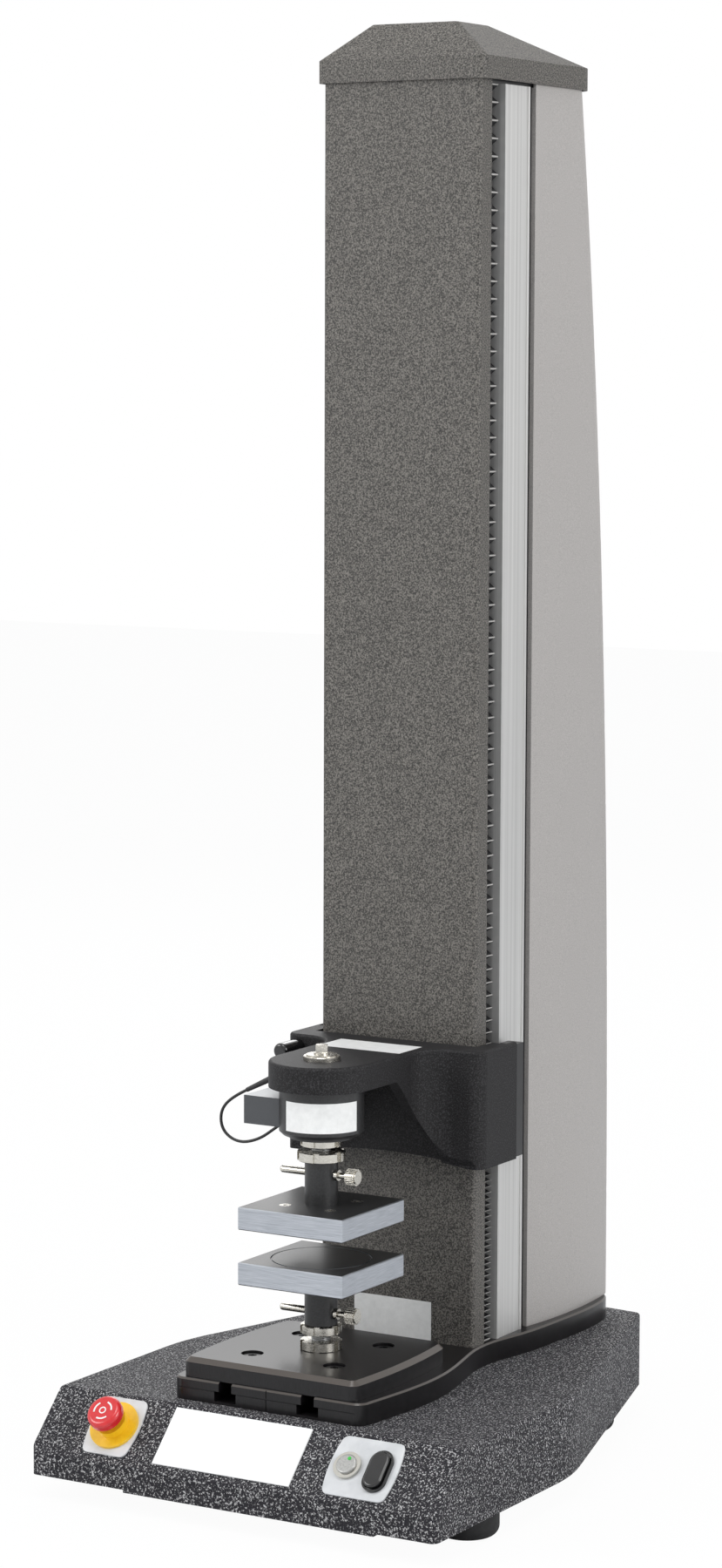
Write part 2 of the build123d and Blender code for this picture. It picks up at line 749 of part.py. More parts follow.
# Upper coupling, from the upper platen to the load cell.
upper_adapter = pinned_adapter(z_upper_adapter, upper_adapter_height, True, z_upper_pin)
keep("upper_adapter", upper_adapter)
upper_stud = threaded_stud(z_upper_adapter + seat_depth + 1.0, z_cell + seat_depth,
                           z_large_ring + ring_height, z_small_ring, z_upper_pin)
keep("upper_stud", upper_stud)
upper_check_ring = notched_ring(z_large_ring, ring_height, large_ring_radius)
keep("upper_check_ring", upper_check_ring)
upper_lock_ring = notched_ring(z_small_ring, check_ring_height, ring_radius)
keep("upper_lock_ring", upper_lock_ring)
upper_pin = release_pin(z_upper_pin)
keep("upper_pin", upper_pin)

# Route of the load cell's lead: a short loose loop back to the crosshead's flank.
y_lead = y_load + 35
lead_route = [
    (-29.6, y_load + 31.2, z_cell + 12),
    (-47, y_lead + 1, z_cell + 6),
    (-66, y_lead + 0.5, z_cell - 7),
    (-84, y_lead, z_cell - 20),
    (-105, y_lead, z_cell - 25),
    (-121, y_lead - 0.5, z_cell - 16),
    (-123, y_lead - 0.5, z_cell + 1),
    (-112, y_lead, z_cell + 14),
    (-96, y_lead, z_cell + 22),
]
lead_start = Vector(*lead_route[0])
lead_way = (Vector(*lead_route[1]) - lead_start).normalized()
boot_tip = Vector(*lead_route[-1])
boot_way = (boot_tip - Vector(*lead_route[-2])).normalized()

# Load cell: a round steel body under the crosshead's nose, with a boss for its lead.
with BuildPart() as load_cell:
    with BuildSketch(Plane.XY.offset(z_cell)):
        with Locations((0, y_load)):
            Circle(cell_radius)
    extrude(amount=cell_height)
    chamfer(load_cell.edges().group_by(Axis.Z)[0], length=cell_chamfer)
    with BuildSketch(Plane.XY.offset(z_cell - cell_boss_height)):
        with Locations((0, y_load)):
            Circle(cell_boss_radius)
    extrude(amount=cell_boss_height)
    with BuildSketch(Plane(origin=lead_start - lead_way * 14, z_dir=lead_way)):
        Circle(lead_boss_radius)
    extrude(amount=14)
    with BuildSketch(Plane.XY.offset(z_cell - cell_boss_height)):
        with Locations((0, y_load)):
            Circle(stud_radius + running_fit)
    extrude(amount=cell_boss_height + seat_depth, mode=Mode.SUBTRACT)
    with BuildSketch(Plane.XY.offset(z_nose)):
        with Locations((0, y_load)):
            Circle(bolt_radius + running_fit)
    extrude(amount=-seat_depth - 4, mode=Mode.SUBTRACT)
keep("load_cell", load_cell)

# Connector box of the load cell, seated on its round side.
with BuildPart() as sensor_box:
    with Locations((-sensor_box_reach / 2, y_load, z_cell + sensor_box_rise)):
        Box(sensor_box_reach, sensor_box_width, sensor_box_height, align=upright)
    chamfer(sensor_box.faces().sort_by(Axis.X)[0].edges(), length=0.6)
    with Locations((0, y_load, z_cell)):
        Cylinder(cell_radius, 2 * cell_height, mode=Mode.SUBTRACT)
keep("sensor_box", sensor_box)


def bend_radii(points):
    """Largest tangent arc that each corner of a route allows."""
    radii = []
    for before, corner, after in zip(points, points[1:], points[2:]):
        incoming = Vector(*corner) - Vector(*before)
        outgoing = Vector(*after) - Vector(*corner)
        half_turn = radians(incoming.get_angle(outgoing)) / 2
        radii.append(0.45 * min(incoming.length, outgoing.length) / tan(half_turn))
    return radii


lead_radii = bend_radii(lead_route)
with BuildPart() as sensor_lead:
    with BuildLine() as lead_path:
        FilletPolyline(*lead_route, radius=lead_radii)
    with BuildSketch(Plane(origin=lead_start, z_dir=lead_way)):
        Circle(lead_diameter / 2)
    sweep(path=lead_path.line)
keep("sensor_lead", sensor_lead)
lead_length = sum(edge.length for edge in lead_path.edges())
print("lead radii", [round(r, 1) for r in lead_radii], "length", round(lead_length, 1))
print("lead volume ratio", round(sensor_lead.part.volume / (pi * lead_diameter ** 2 / 4 * lead_length), 4))

# Tapered boot where the lead goes into the crosshead's flank.
boot_run = (-nose_radius - boot_tip.X) / boot_way.X
with BuildPart() as lead_boot:
    with BuildSketch(Plane(origin=boot_tip, z_dir=boot_way)):
        Circle(boot_tip_radius)
    with BuildSketch(Plane(origin=boot_tip + boot_way * (boot_run + 6), z_dir=boot_way)):
        Circle(boot_root_radius)
    loft()
    with Locations((0, y_load, z_nose)):
        Box(2 * nose_radius, 4 * nose_radius, 8 * nose_thickness, mode=Mode.SUBTRACT)
keep("lead_boot", lead_boot)

# Crosshead casting: a round nose over the load cell, gussets, and cheeks round the cover.
y_wall = y_load + crosshead_wall_front
y_wall_back = y_cover - wall_gap
cheek_skin_inside = cheek_outside - cheek_skin
y_skin_back = y_arm_back
with BuildPart() as crosshead:
    with BuildSketch(Plane.XY.offset(z_crosshead)) as crosshead_plan:
        with BuildLine():
            ThreePointArc((-nose_radius, y_load), (0, y_load - nose_radius), (nose_radius, y_load))
            Polyline((nose_radius, y_load), (nose_radius, y_wall), (cheek_outside, y_wall),
                     (cheek_outside, y_skin_back), (cheek_skin_inside, y_skin_back),
                     (cheek_skin_inside, y_arm), (cheek_inside, y_arm), (cheek_inside, y_wall_back),
                     (-cheek_inside, y_wall_back), (-cheek_inside, y_arm), (-cheek_skin_inside, y_arm),
                     (-cheek_skin_inside, y_skin_back), (-cheek_outside, y_skin_back),
                     (-cheek_outside, y_wall), (-nose_radius, y_wall), (-nose_radius, y_load))
        make_face()
        wall_corners = crosshead_plan.vertices().filter_by(lambda v: abs(v.Y - y_wall) < 0.01)
        fillet(wall_corners.filter_by(lambda v: abs(v.X) < nose_radius + 1), radius=crosshead_inner_fillet)
        wall_corners = crosshead_plan.vertices().filter_by(lambda v: abs(v.Y - y_wall) < 0.01)
        fillet(wall_corners.filter_by(lambda v: abs(v.X) > cheek_outside - 1), radius=crosshead_corner)
    extrude(amount=crosshead_height)
    with BuildSketch(Plane.YZ):
        with BuildLine():
            ThreePointArc((y_load + gusset_start, z_nose), (y_load + gusset_mid[0], z_nose - gusset_mid[1]),
                          (y_load + gusset_end[0], z_nose - gusset_end[1]))
            Polyline((y_load + gusset_end[0], z_nose - gusset_end[1]),
                     (y_load + gusset_end[0], z_crosshead - 1), (y_load - 2 * nose_radius, z_crosshead - 1),
                     (y_load - 2 * nose_radius, z_nose), (y_load + gusset_start, z_nose))
        make_face()
    extrude(amount=cheek_outside + 5, both=True, mode=Mode.SUBTRACT)
    with BuildSketch(Plane.XY.offset(z_crosshead - 1)):
        with BuildLine():
            Polyline((-pocket_half_width, y_load + 40), (pocket_half_width, y_load + 40),
                     (pocket_half_width, y_load + 72), (pocket_rear_half_width, y_wall_back - pocket_wall),
                     (-pocket_rear_half_width, y_wall_back - pocket_wall), (-pocket_half_width, y_load + 72),
                     close=True)
        make_face()
    extrude(amount=z_nose - z_crosshead + 1, mode=Mode.SUBTRACT)
    with BuildSketch(Plane.XZ.offset(-y_wall_back - 1)):
        with BuildLine():
            ThreePointArc((-cheek_inside - 4, z_crosshead), (0, z_crosshead + crosshead_arch),
                          (cheek_inside + 4, z_crosshead))
            Polyline((cheek_inside + 4, z_crosshead), (cheek_inside + 4, z_crosshead - 1),
                     (-cheek_inside - 4, z_crosshead - 1), (-cheek_inside - 4, z_crosshead))
        make_face()
    extrude(amount=60, mode=Mode.SUBTRACT)
    top_edges = crosshead.edges().filter_by(
        lambda e: e.center().Z > nose_top - 0.01 and (
            e.center().Y < y_wall + 1 or abs(e.center().X) > cheek_outside - crosshead_corner))
    fillet(top_edges.filter_by(lambda e: e.center().Y < y_arm), radius=crosshead_round)
    with BuildSketch(Plane.XY.offset(nose_top)):
        with Locations((0, y_load)):
            Circle(bolt_radius + free_gap)
    extrude(amount=-nose_thickness, mode=Mode.SUBTRACT)
    with BuildSketch(Plane.XZ.offset(-y_wall - seat_depth)):
        with Locations((-socket_cap_x, nose_top - socket_cap_drop)):
            Circle(socket_cap_radius)
    extrude(amount=2 * seat_depth, mode=Mode.SUBTRACT)
keep("crosshead", crosshead)

# Capped round socket on the left cheek.
with BuildPart() as socket_cap:
    with BuildSketch(Plane.XZ.offset(-y_wall - seat_depth)):
        with Locations((-socket_cap_x, nose_top - socket_cap_drop)):
            Circle(socket_cap_radius)
    extrude(amount=seat_depth + socket_cap_length)
    fillet(socket_cap.edges().group_by(Axis.Y)[0], radius=3)
keep("socket_cap", socket_cap)

# Washer and bolt that hold the load cell up against the nose.
z_bolt = nose_top + washer_height + washer_step_height
with BuildPart() as crosshead_bolt:
    with Locations((0, y_load, nose_top)):
        Cylinder(washer_radius, washer_height, align=upright)
    chamfer(crosshead_bolt.edges().group_by(Axis.Z)[-1], length=0.6)
    with Locations((0, y_load, nose_top + washer_height)):
        Cylinder(washer_step_radius, washer_step_height, align=upright)
    with Locations((0, y_load, nose_top)):
        Cylinder(bolt_radius + free_gap, 4 * washer_height, mode=Mode.SUBTRACT)
    with Locations((0, y_load, z_bolt)):
        Cylinder(bolt_flange_radius, bolt_flange_height, align=upright)
        Cylinder(bolt_radius, z_bolt - z_nose + seat_depth, align=hanging)
    with BuildSketch(Plane.XY.offset(z_bolt + bolt_flange_height)):
        with Locations((0, y_load)):
            RegularPolygon(bolt_head_across / 2, 6, major_radius=False)
    extrude(amount=bolt_head_height)
    chamfer(crosshead_bolt.edges().group_by(Axis.Z)[-1], length=0.6)
keep("crosshead_bolt", crosshead_bolt)

# Carriage plate: its arms come out through the slots beside the cover.
arm_top = arm_bottom + arm_height
arm_half = cheek_skin_inside - free_gap
arm_screw_x = (cheek_inside + cheek_skin_inside) / 2
arm_screw_heights = [arm_bottom + arm_height * share for share in (0.2, 0.5, 0.8)]
with BuildPart() as carriage_plate:
    with Locations((0, y_arm, arm_bottom)):
        Box(2 * arm_half, arm_thickness, arm_height, align=(Align.CENTER, Align.MIN, Align.MIN))
    chamfer(carriage_plate.edges().filter_by(Axis.Y), length=1.0)
    with BuildSketch(Plane.XZ.offset(-y_arm)):
        with Locations(*[(sx * arm_screw_x, z) for sx in (-1, 1) for z in arm_screw_heights]):
            Circle(3 + free_gap)
    extrude(amount=-arm_thickness, mode=Mode.SUBTRACT)
keep("carriage_plate", carriage_plate)

# Black bars behind the cheeks, and the screws through bar, arm and cheek.
end_bar_inside = cheek_inside + free_gap
end_bar_outside = cheek_outside - 2.0
end_bar_middle = arm_bottom + arm_height / 2
with BuildPart() as crosshead_end_bars:
    for side_sign in (-1, 1):
        with Locations((side_sign * (end_bar_inside + end_bar_outside) / 2, y_arm_back, end_bar_middle)):
            Box(end_bar_outside - end_bar_inside, end_bar_thickness, end_bar_height,
                align=(Align.CENTER, Align.MIN, Align.CENTER))
    chamfer(crosshead_end_bars.faces().group_by(Axis.Y)[-1].edges(), length=1.0)
    with BuildSketch(Plane.XZ.offset(-y_arm)):
        with Locations(*[(sx * arm_screw_x, z) for sx in (-1, 1) for z in arm_screw_heights]):
            Circle(3 + free_gap)
    extrude(amount=-arm_thickness - end_bar_thickness, mode=Mode.SUBTRACT)
keep("crosshead_end_bars", crosshead_end_bars)

with BuildPart() as crosshead_screws:
    with BuildSketch(Plane.XZ.offset(-y_arm_back - end_bar_thickness)):
        with Locations(*[(sx * arm_screw_x, z) for sx in (-1, 1) for z in arm_screw_heights]):
            Circle(5)
    extrude(amount=-5)
    with BuildSketch(Plane.XZ.offset(-y_arm_back - end_bar_thickness)):
        with Locations(*[(sx * arm_screw_x, z) for sx in (-1, 1) for z in arm_screw_heights]):
            Circle(3)
    extrude(amount=arm_thickness + end_bar_thickness)
    with BuildSketch(Plane.XZ.offset(-y_arm_back - end_bar_thickness - 5)):
        with Locations(*[(sx * arm_screw_x, z) for sx in (-1, 1) for z in arm_screw_heights]):
            RegularPolygon(2.5, 6)
    extrude(amount=2.5, mode=Mode.SUBTRACT)
keep("crosshead_screws", crosshead_screws)

# Linear guides: two rails on the extrusion's web, two blocks on each.
with BuildPart() as guide_rails:
    for side_sign in (-1, 1):
        with Locations((side_sign * rail_x, y_web, z_tee)):
            Box(rail_width, rail_height, z_top_plate - z_tee, align=(Align.CENTER, Align.MAX, Align.MIN))
        for groove_sign in (-1, 1):
            with Locations((side_sign * rail_x + groove_sign * rail_width / 2, y_web - rail_height / 2, z_tee)):
                Box(2, rail_groove_width, 3 * column_top, mode=Mode.SUBTRACT)
keep("guide_rails", guide_rails)

guide_block_places = [(sx * rail_x, arm_bottom + arm_height * share) for sx in (-1, 1) for share in (0.25, 0.75)]
with BuildPart() as guide_blocks:
    with Locations(*[(x, y_arm_back, z) for x, z in guide_block_places]):
        Box(guide_block_width, guide_block_depth, guide_block_length,
            align=(Align.CENTER, Align.MIN, Align.CENTER))
    for side_sign in (-1, 1):
        with Locations((side_sign * rail_x, y_web, z_tee)):
            Box(rail_width + 2 * free_gap, 2 * (rail_height + free_gap), 3 * column_top, mode=Mode.SUBTRACT)
keep("guide_blocks", guide_blocks)

# Column extrusion: two hollow posts joined by a web with a channel for the screw.
with BuildPart() as column_extrusion:
    with BuildSketch(Plane.XY.offset(z_tee)):
        with BuildLine():
            Polyline((column_half_width, y_post), (column_half_width, y_post_back),
                     (-column_half_width, y_post_back), (-column_half_width, y_post),
                     (-column_half_width + post_width, y_post), (-column_half_width + post_width, y_web),
                     (-screw_channel_half_width, y_web),
                     (-screw_channel_half_width, y_post_back - screw_channel_wall),
                     (screw_channel_half_width, y_post_back - screw_channel_wall),
                     (screw_channel_half_width, y_web),
                     (column_half_width - post_width, y_web), (column_half_width - post_width, y_post),
                     close=True)
        make_face()
        post_middle = (y_post + y_post_back) / 2
        web_inside = screw_channel_half_width + screw_channel_wall
        web_outside = column_half_width - post_width - post_wall
        for side_sign in (-1, 1):
            with Locations((side_sign * (column_half_width - post_width / 2), post_middle)):
                Rectangle(post_width - 2 * post_wall, extrusion_depth - 2 * post_wall, mode=Mode.SUBTRACT)
            with Locations((side_sign * (web_inside + web_outside) / 2, (y_web + y_post_back) / 2)):
                Rectangle(web_outside - web_inside, extrusion_web_depth - 2 * post_wall, mode=Mode.SUBTRACT)
            with Locations((side_sign * column_half_width, post_middle)):
                Rectangle(2 * side_recess, extrusion_depth - 2 * side_bead, mode=Mode.SUBTRACT)
    extrude(amount=z_top_plate - z_tee)
keep("column_extrusion", column_extrusion)

# Black accessory grooves between the extrusion and the rear cover.
with BuildPart() as groove_rails:
    with BuildSketch(Plane.XY.offset(z_tee)):
        for side_sign in (-1, 1):
            with Locations((side_sign * (groove_rail_half_width - groove_rail_width / 2),
                            y_post_back + groove_depth / 2)):
                Rectangle(groove_rail_width, groove_depth)
            with Locations((side_sign * groove_rail_half_width, y_post_back + groove_depth / 2)):
                Rectangle(2 * groove_slot_depth, groove_slot_width, mode=Mode.SUBTRACT)
            with Locations((side_sign * (groove_rail_half_width - groove_slot_depth),
                            y_post_back + groove_depth / 2)):
                Rectangle(3, groove_slot_width + 3, mode=Mode.SUBTRACT)
    extrude(amount=z_top_plate - z_tee)
keep("groove_rails", groove_rails)

# Front cover: a shallow folded channel that hides the drive between the slots. A flange
# at its foot rests on the mounting plate, and one at its head lies under the top plate.
with BuildPart() as front_cover:
    with BuildSketch(Plane.XY.offset(z_tee)) as cover_plan:
        with Locations((0, y_cover)):
            Rectangle(2 * cover_half_width, cover_depth, align=(Align.CENTER, Align.MIN))
        fillet(cover_plan.vertices().group_by(Axis.Y)[0], radius=cover_corner)
    extrude(amount=column_top - z_tee)
    with BuildSketch(Plane.XY.offset(z_tee)) as cover_inside:
        with Locations((0, y_cover + cover_wall)):
            Rectangle(2 * (cover_half_width - cover_wall), 2 * cover_depth, align=(Align.CENTER, Align.MIN))
        fillet(cover_inside.vertices().group_by(Axis.Y)[0], radius=cover_corner - cover_wall)
    extrude(amount=column_top - z_tee, mode=Mode.SUBTRACT)
    for flange_bottom in (z_tee, z_top_plate - cover_wall):
        with Locations((0, y_cover, flange_bottom)):
            Box(2 * cover_flange_half_width, cover_depth, cover_wall,
                align=(Align.CENTER, Align.MIN, Align.MIN))
keep("front_cover", front_cover)

# Plate on top of the column, under the cap.
y_cap_front = y_cover - cap_wall - free_gap
rear_cover_top_back = y_groove_back + rear_cover_depth - rear_cover_lean
y_cap_back = rear_cover_top_back + cap_wall + cap_rear_gap
with BuildPart() as column_top_plate:
    with Locations((0, y_cover + cover_wall + free_gap, z_top_plate)):
        Box(2 * (cover_half_width - cover_wall - free_gap),
            y_groove_back + 70 - y_cover, top_plate_thickness, align=(Align.CENTER, Align.MIN, Align.MIN))
    fillet(column_top_plate.edges().filter_by(Axis.Z).group_by(Axis.Y)[0], radius=cover_corner - cover_wall)
    with Locations((0, y_groove_back + 40, z_top_plate)):
        Box(80, 40, 4 * top_plate_thickness, mode=Mode.SUBTRACT)
keep("column_top_plate", column_top_plate)


def rear_cover_face(height, inset, front):
    """Section of the rear cover: bulging sides and a rounded back that leans forward."""
    share = max(0.0, (height - z_base_top) / (column_top - z_base_top))
    back = y_groove_back + rear_cover_depth - rear_cover_lean * share ** rear_cover_lean_power - inset
    bulge = column_half_width + rear_cover_crown + rear_cover_bulge * (1 - share) - inset
    corner = column_half_width - rear_cover_corner_inset * (1 - share) - inset
    with BuildSketch(Plane.XY.offset(height)) as section:
        with BuildLine():
            ThreePointArc((column_half_width - inset, front), (bulge, (front + back) / 2), (corner, back))
            Line((corner, back), (-corner, back))
            ThreePointArc((-corner, back), (-bulge, (front + back) / 2), (-column_half_width + inset, front))
            Line((-column_half_width + inset, front), (column_half_width - inset, front))
        make_face()
        fillet(section.vertices().group_by(Axis.Y)[-1], radius=rear_cover_corner - inset)
    return section.sketch


# Rear cover: a drawn shell over the motor and electronics.
section_heights = [z_tee + (column_top - z_tee) * i / (rear_cover_sections - 1)
                   for i in range(rear_cover_sections)]
with BuildPart() as rear_cover:
    loft([rear_cover_face(height, 0, y_groove_back) for height in section_heights])
    loft([rear_cover_face(height, rear_cover_wall, y_groove_back - 1) for height in section_heights],
         mode=Mode.SUBTRACT)
    for side_sign in (-1, 1):
        with Locations((side_sign * (column_half_width - 1.0), y_groove_back, z_tee)):
            Box(groove_rail_width + 3, rear_cover_wall, z_top_plate - z_tee,
                align=(Align.MAX if side_sign > 0 else Align.MIN, Align.MIN, Align.MIN))
keep("rear_cover", rear_cover)


cap_half = column_half_width + cap_overhang
z_skirt_top = z_cap + cap_skirt_height


def cap_outline(height, inset):
    """Rounded rectangle of the cap's skirt."""
    with BuildSketch(Plane.XY.offset(height)) as outline:
        with Locations((0, (y_cap_front + y_cap_back) / 2)):
            Rectangle(2 * (cap_half - inset), y_cap_back - y_cap_front - 2 * inset)
        fillet(outline.vertices().group_by(Axis.Y)[0], radius=cap_front_corner - inset)
        fillet(outline.vertices().group_by(Axis.Y)[-1], radius=cap_rear_corner - inset)
    return outline.sketch


def cap_top_outline(height, inset):
    """Rounded rectangle of the flat on top of the cap."""
    with BuildSketch(Plane.XY.offset(height)) as outline:
        with Locations((0, y_cap_front + cap_top_front + cap_top_depth / 2)):
            RectangleRounded(2 * (cap_top_half_width - inset), cap_top_depth, cap_top_corner)
    return outline.sketch


# Cap: a skirt and a low pyramid, hollow inside, seated on the top plate.
with BuildPart() as top_cap:
    extrude(cap_outline(z_cap, 0), amount=cap_skirt_height)
    loft([cap_outline(z_skirt_top, 0), cap_top_outline(z_skirt_top + cap_rise, 0)])
    fillet(top_cap.edges().group_by(Axis.Z)[-1], radius=1.5)
    extrude(cap_outline(z_cap, cap_wall), amount=cap_skirt_height - cap_wall, mode=Mode.SUBTRACT)
    loft([cap_outline(z_skirt_top - cap_wall, cap_wall),
          cap_top_outline(z_skirt_top + cap_rise - cap_wall, cap_wall)], mode=Mode.SUBTRACT)
    with BuildSketch(Plane.XY.offset(column_top)):
        with Locations(*[(sx * 60, y) for sx in (-1, 1) for y in (y_cover + 20, y_groove_back + 50)]):
            Circle(cap_boss_radius)
    extrude(until=Until.NEXT)
keep("top_cap", top_cap)

# Ball screw with its end journals.
z_lower_journal = z_tee + bearing_block_height + 2.0
with BuildPart() as ball_screw:
    with Locations((0, y_screw, screw_bottom)):
        Cylinder(screw_lower_journal, z_lower_journal - screw_bottom, align=upright)
    with Locations((0, y_screw, z_lower_journal)):
        Cylinder(screw_radius, z_bearing_top - 2.0 - z_lower_journal, align=upright)
    with Locations((0, y_screw, z_bearing_top - 2.0)):
        Cylinder(screw_upper_journal, bearing_block_height, align=upright)
keep("ball_screw", ball_screw)

# Ball nut, and the saddle that fixes it to the carriage plate.
z_nut = arm_bottom + (arm_height - nut_length) / 2
with BuildPart() as ball_nut:
    with Locations((0, y_screw, z_nut)):
        Cylinder(nut_radius, nut_length, align=upright)
        Cylinder(nut_flange_radius, nut_flange_height, align=upright)
    with Locations((0, y_screw, z_nut)):
        Cylinder(screw_radius + 2 * running_fit, 3 * nut_length, mode=Mode.SUBTRACT)
keep("ball_nut", ball_nut)

with BuildPart() as nut_bracket:
    with Locations((0, y_arm_back, z_nut + nut_flange_height)):
        Box(2 * nut_bracket_half_width, nut_bracket_depth, nut_bracket_height,
            align=(Align.CENTER, Align.MIN, Align.MIN))
    with Locations((0, y_screw, z_nut)):
        Cylinder(nut_radius, 4 * nut_length, mode=Mode.SUBTRACT)
keep("nut_bracket", nut_bracket)


# Blocks that hold the screw's end bearings, one on the mounting plate and one under the
# top plate.
with BuildPart() as bearing_blocks:
    for bottom, journal in ((z_tee, screw_lower_journal), (z_bearing_top, screw_upper_journal)):
        with Locations((0, y_screw, bottom)):
            Box(2 * bearing_block_half_width, bearing_block_depth, bearing_block_height, align=upright)
        with Locations((0, y_screw, bottom + bearing_block_height / 2)):
            Cylinder(journal + running_fit, 2 * bearing_block_height, mode=Mode.SUBTRACT)
            Cylinder(journal + bearing_step, bearing_block_height, mode=Mode.SUBTRACT)
            Cylinder(bearing_radius, bearing_height)
            Cylinder(journal + running_fit, bearing_height, mode=Mode.SUBTRACT)
keep("bearing_blocks", bearing_blocks)

# Bellows that close the slots above and below the carriage's arms.
bellows_y = y_arm + arm_thickness / 2


def bellows_pair(bottom, top):
    """Two folded strips, drawn as the space that their pleats take."""
    with BuildPart() as pair:
        with BuildSketch(Plane.XY.offset(bottom)):
            with Locations((-bellows_x, bellows_y), (bellows_x, bellows_y)):
                Rectangle(2 * bellows_half_width, bellows_depth)
        extrude(amount=top - bottom)
    return pair


upper_bellows = bellows_pair(arm_top + free_gap, z_top_plate - free_gap)
keep("upper_bellows", upper_bellows)
lower_bellows = bellows_pair(z_tee + free_gap, arm_bottom - free_gap)
keep("lower_bellows", lower_bellows)

# Motor behind the column, its shaft, the two pulleys and the belt under the plate.
with BuildPart() as drive_motor:
    with Locations((0, y_motor, z_tee)):
        Box(motor_size, motor_size, motor_flange, align=upright)
    with Locations((0, y_motor, z_tee + motor_flange)):
        Box(motor_size - 6, motor_size - 6, motor_length - motor_flange, align=upright)
    chamfer(drive_motor.edges().filter_by(Axis.Z), length=5)
    with Locations((0, y_motor, z_tee)):
        Cylinder(motor_shaft_radius + 1.0, motor_length, mode=Mode.SUBTRACT)
keep("drive_motor", drive_motor)

# Small pulley, cut on the end of the motor's shaft, and the large one on the screw.
with BuildPart() as motor_pulley:
    with Locations((0, y_motor, pulley_bottom - 2.0)):
        Cylinder(motor_shaft_radius, z_tee + motor_length / 3 - pulley_bottom, align=upright)
    with Locations((0, y_motor, pulley_bottom)):
        Cylinder(motor_pulley_radius, pulley_width, align=upright)
    with Locations((0, y_motor, pulley_bottom), (0, y_motor, pulley_bottom + pulley_width)):
        Cylinder(motor_pulley_radius + pulley_flange_reach, pulley_flange_height)
keep("motor_pulley", motor_pulley)

with BuildPart() as screw_pulley:
    with Locations((0, y_screw, pulley_bottom)):
        Cylinder(screw_pulley_radius, pulley_width, align=upright)
    with Locations((0, y_screw, pulley_bottom), (0, y_screw, pulley_bottom + pulley_width)):
        Cylinder(screw_pulley_radius + pulley_flange_reach, pulley_flange_height)
    with Locations((0, y_screw, pulley_bottom)):
        Cylinder(screw_lower_journal, 6 * pulley_width, mode=Mode.SUBTRACT)
keep("screw_pulley", screw_pulley)


def belt_loop(growth):
    """Outline round both pulleys, wider than them by the given amount."""
    big = screw_pulley_radius + growth
    small = motor_pulley_radius + growth
    lean = (big - small) / motor_back
    reach = (1 - lean ** 2) ** 0.5
    with BuildSketch(Plane.XY.offset(pulley_bottom + belt_side_gap)) as loop:
        with BuildLine():
            ThreePointArc((big * reach, y_screw + big * lean), (0, y_screw - big),
                          (-big * reach, y_screw + big * lean))
            Line((-big * reach, y_screw + big * lean), (-small * reach, y_motor + small * lean))
            ThreePointArc((-small * reach, y_motor + small * lean), (0, y_motor + small),
                          (small * reach, y_motor + small * lean))
            Line((small * reach, y_motor + small * lean), (big * reach, y_screw + big * lean))
        make_face()
    return loop.sketch


with BuildPart() as drive_belt:
    extrude(belt_loop(free_gap + belt_thickness), amount=pulley_width - 2 * belt_side_gap)
    extrude(belt_loop(free_gap), amount=pulley_width - 2 * belt_side_gap, mode=Mode.SUBTRACT)
keep("drive_belt", drive_belt)

# Control board on its standoffs, and the power supply, behind the extrusion.
y_board = y_post_back + standoff_height
standoff_places = [(sx * (board_width / 2 - 6), board_bottom + up) for sx in (-1, 1)
                   for up in (6, board_height - 6)]
with BuildPart() as control_board:
    with BuildSketch(Plane.XZ.offset(-y_post_back)):
        with Locations(*standoff_places):
            Circle(standoff_radius)
    extrude(amount=-standoff_height)
    with Locations((0, y_board, board_bottom)):
        Box(board_width, board_thickness, board_height, align=(Align.CENTER, Align.MIN, Align.MIN))
    for part_x, part_up, part_width, part_tall, part_deep in (
            (-22, 34, 34, 22, 12), (22, 32, 26, 26, 18), (-20, 78, 28, 28, 4), (18, 82, 22, 36, 10),
            (0, 128, 70, 14, 11)):
        with Locations((part_x, y_board + board_thickness, board_bottom + part_up)):
            Box(part_width, part_deep, part_tall, align=(Align.CENTER, Align.MIN, Align.CENTER))
keep("control_board", control_board)

with BuildPart() as power_supply:
    with Locations((0, y_post_back, supply_bottom)):
        Box(supply_width, supply_depth, supply_height, align=(Align.CENTER, Align.MIN, Align.MIN))
    chamfer(power_supply.edges().filter_by(Axis.Z), length=1.5)
    with Locations((0, y_post_back + supply_depth, supply_bottom + 10)):
        Box(supply_width - 16, 24, 16, mode=Mode.SUBTRACT)
keep("power_supply", power_supply)

# Rear panel with the power inlet, the mains switch and two data ports.
y_rear_panel = y_cavity_back - rear_panel_thickness
z_rear_panel = z_base + rear_window_middle
with BuildPart() as rear_panel:
    with Locations((0, y_rear_panel, z_rear_panel)):
        Box(rear_window_width + 2 * rear_panel_margin, rear_panel_thickness,
            rear_window_height + rear_panel_margin, align=(Align.CENTER, Align.MIN, Align.CENTER))
    with Locations((inlet_x, y_rear_panel, z_rear_panel)):
        Box(28, 10, 21, mode=Mode.SUBTRACT)
    with Locations((switch_x, y_rear_panel, z_rear_panel)):
        Box(14, 10, 20, mode=Mode.SUBTRACT)
    with Locations((port_x - 14, y_rear_panel, z_rear_panel), (port_x + 16, y_rear_panel, z_rear_panel)):
        Box(13, 10, 12, mode=Mode.SUBTRACT)
keep("rear_panel", rear_panel)

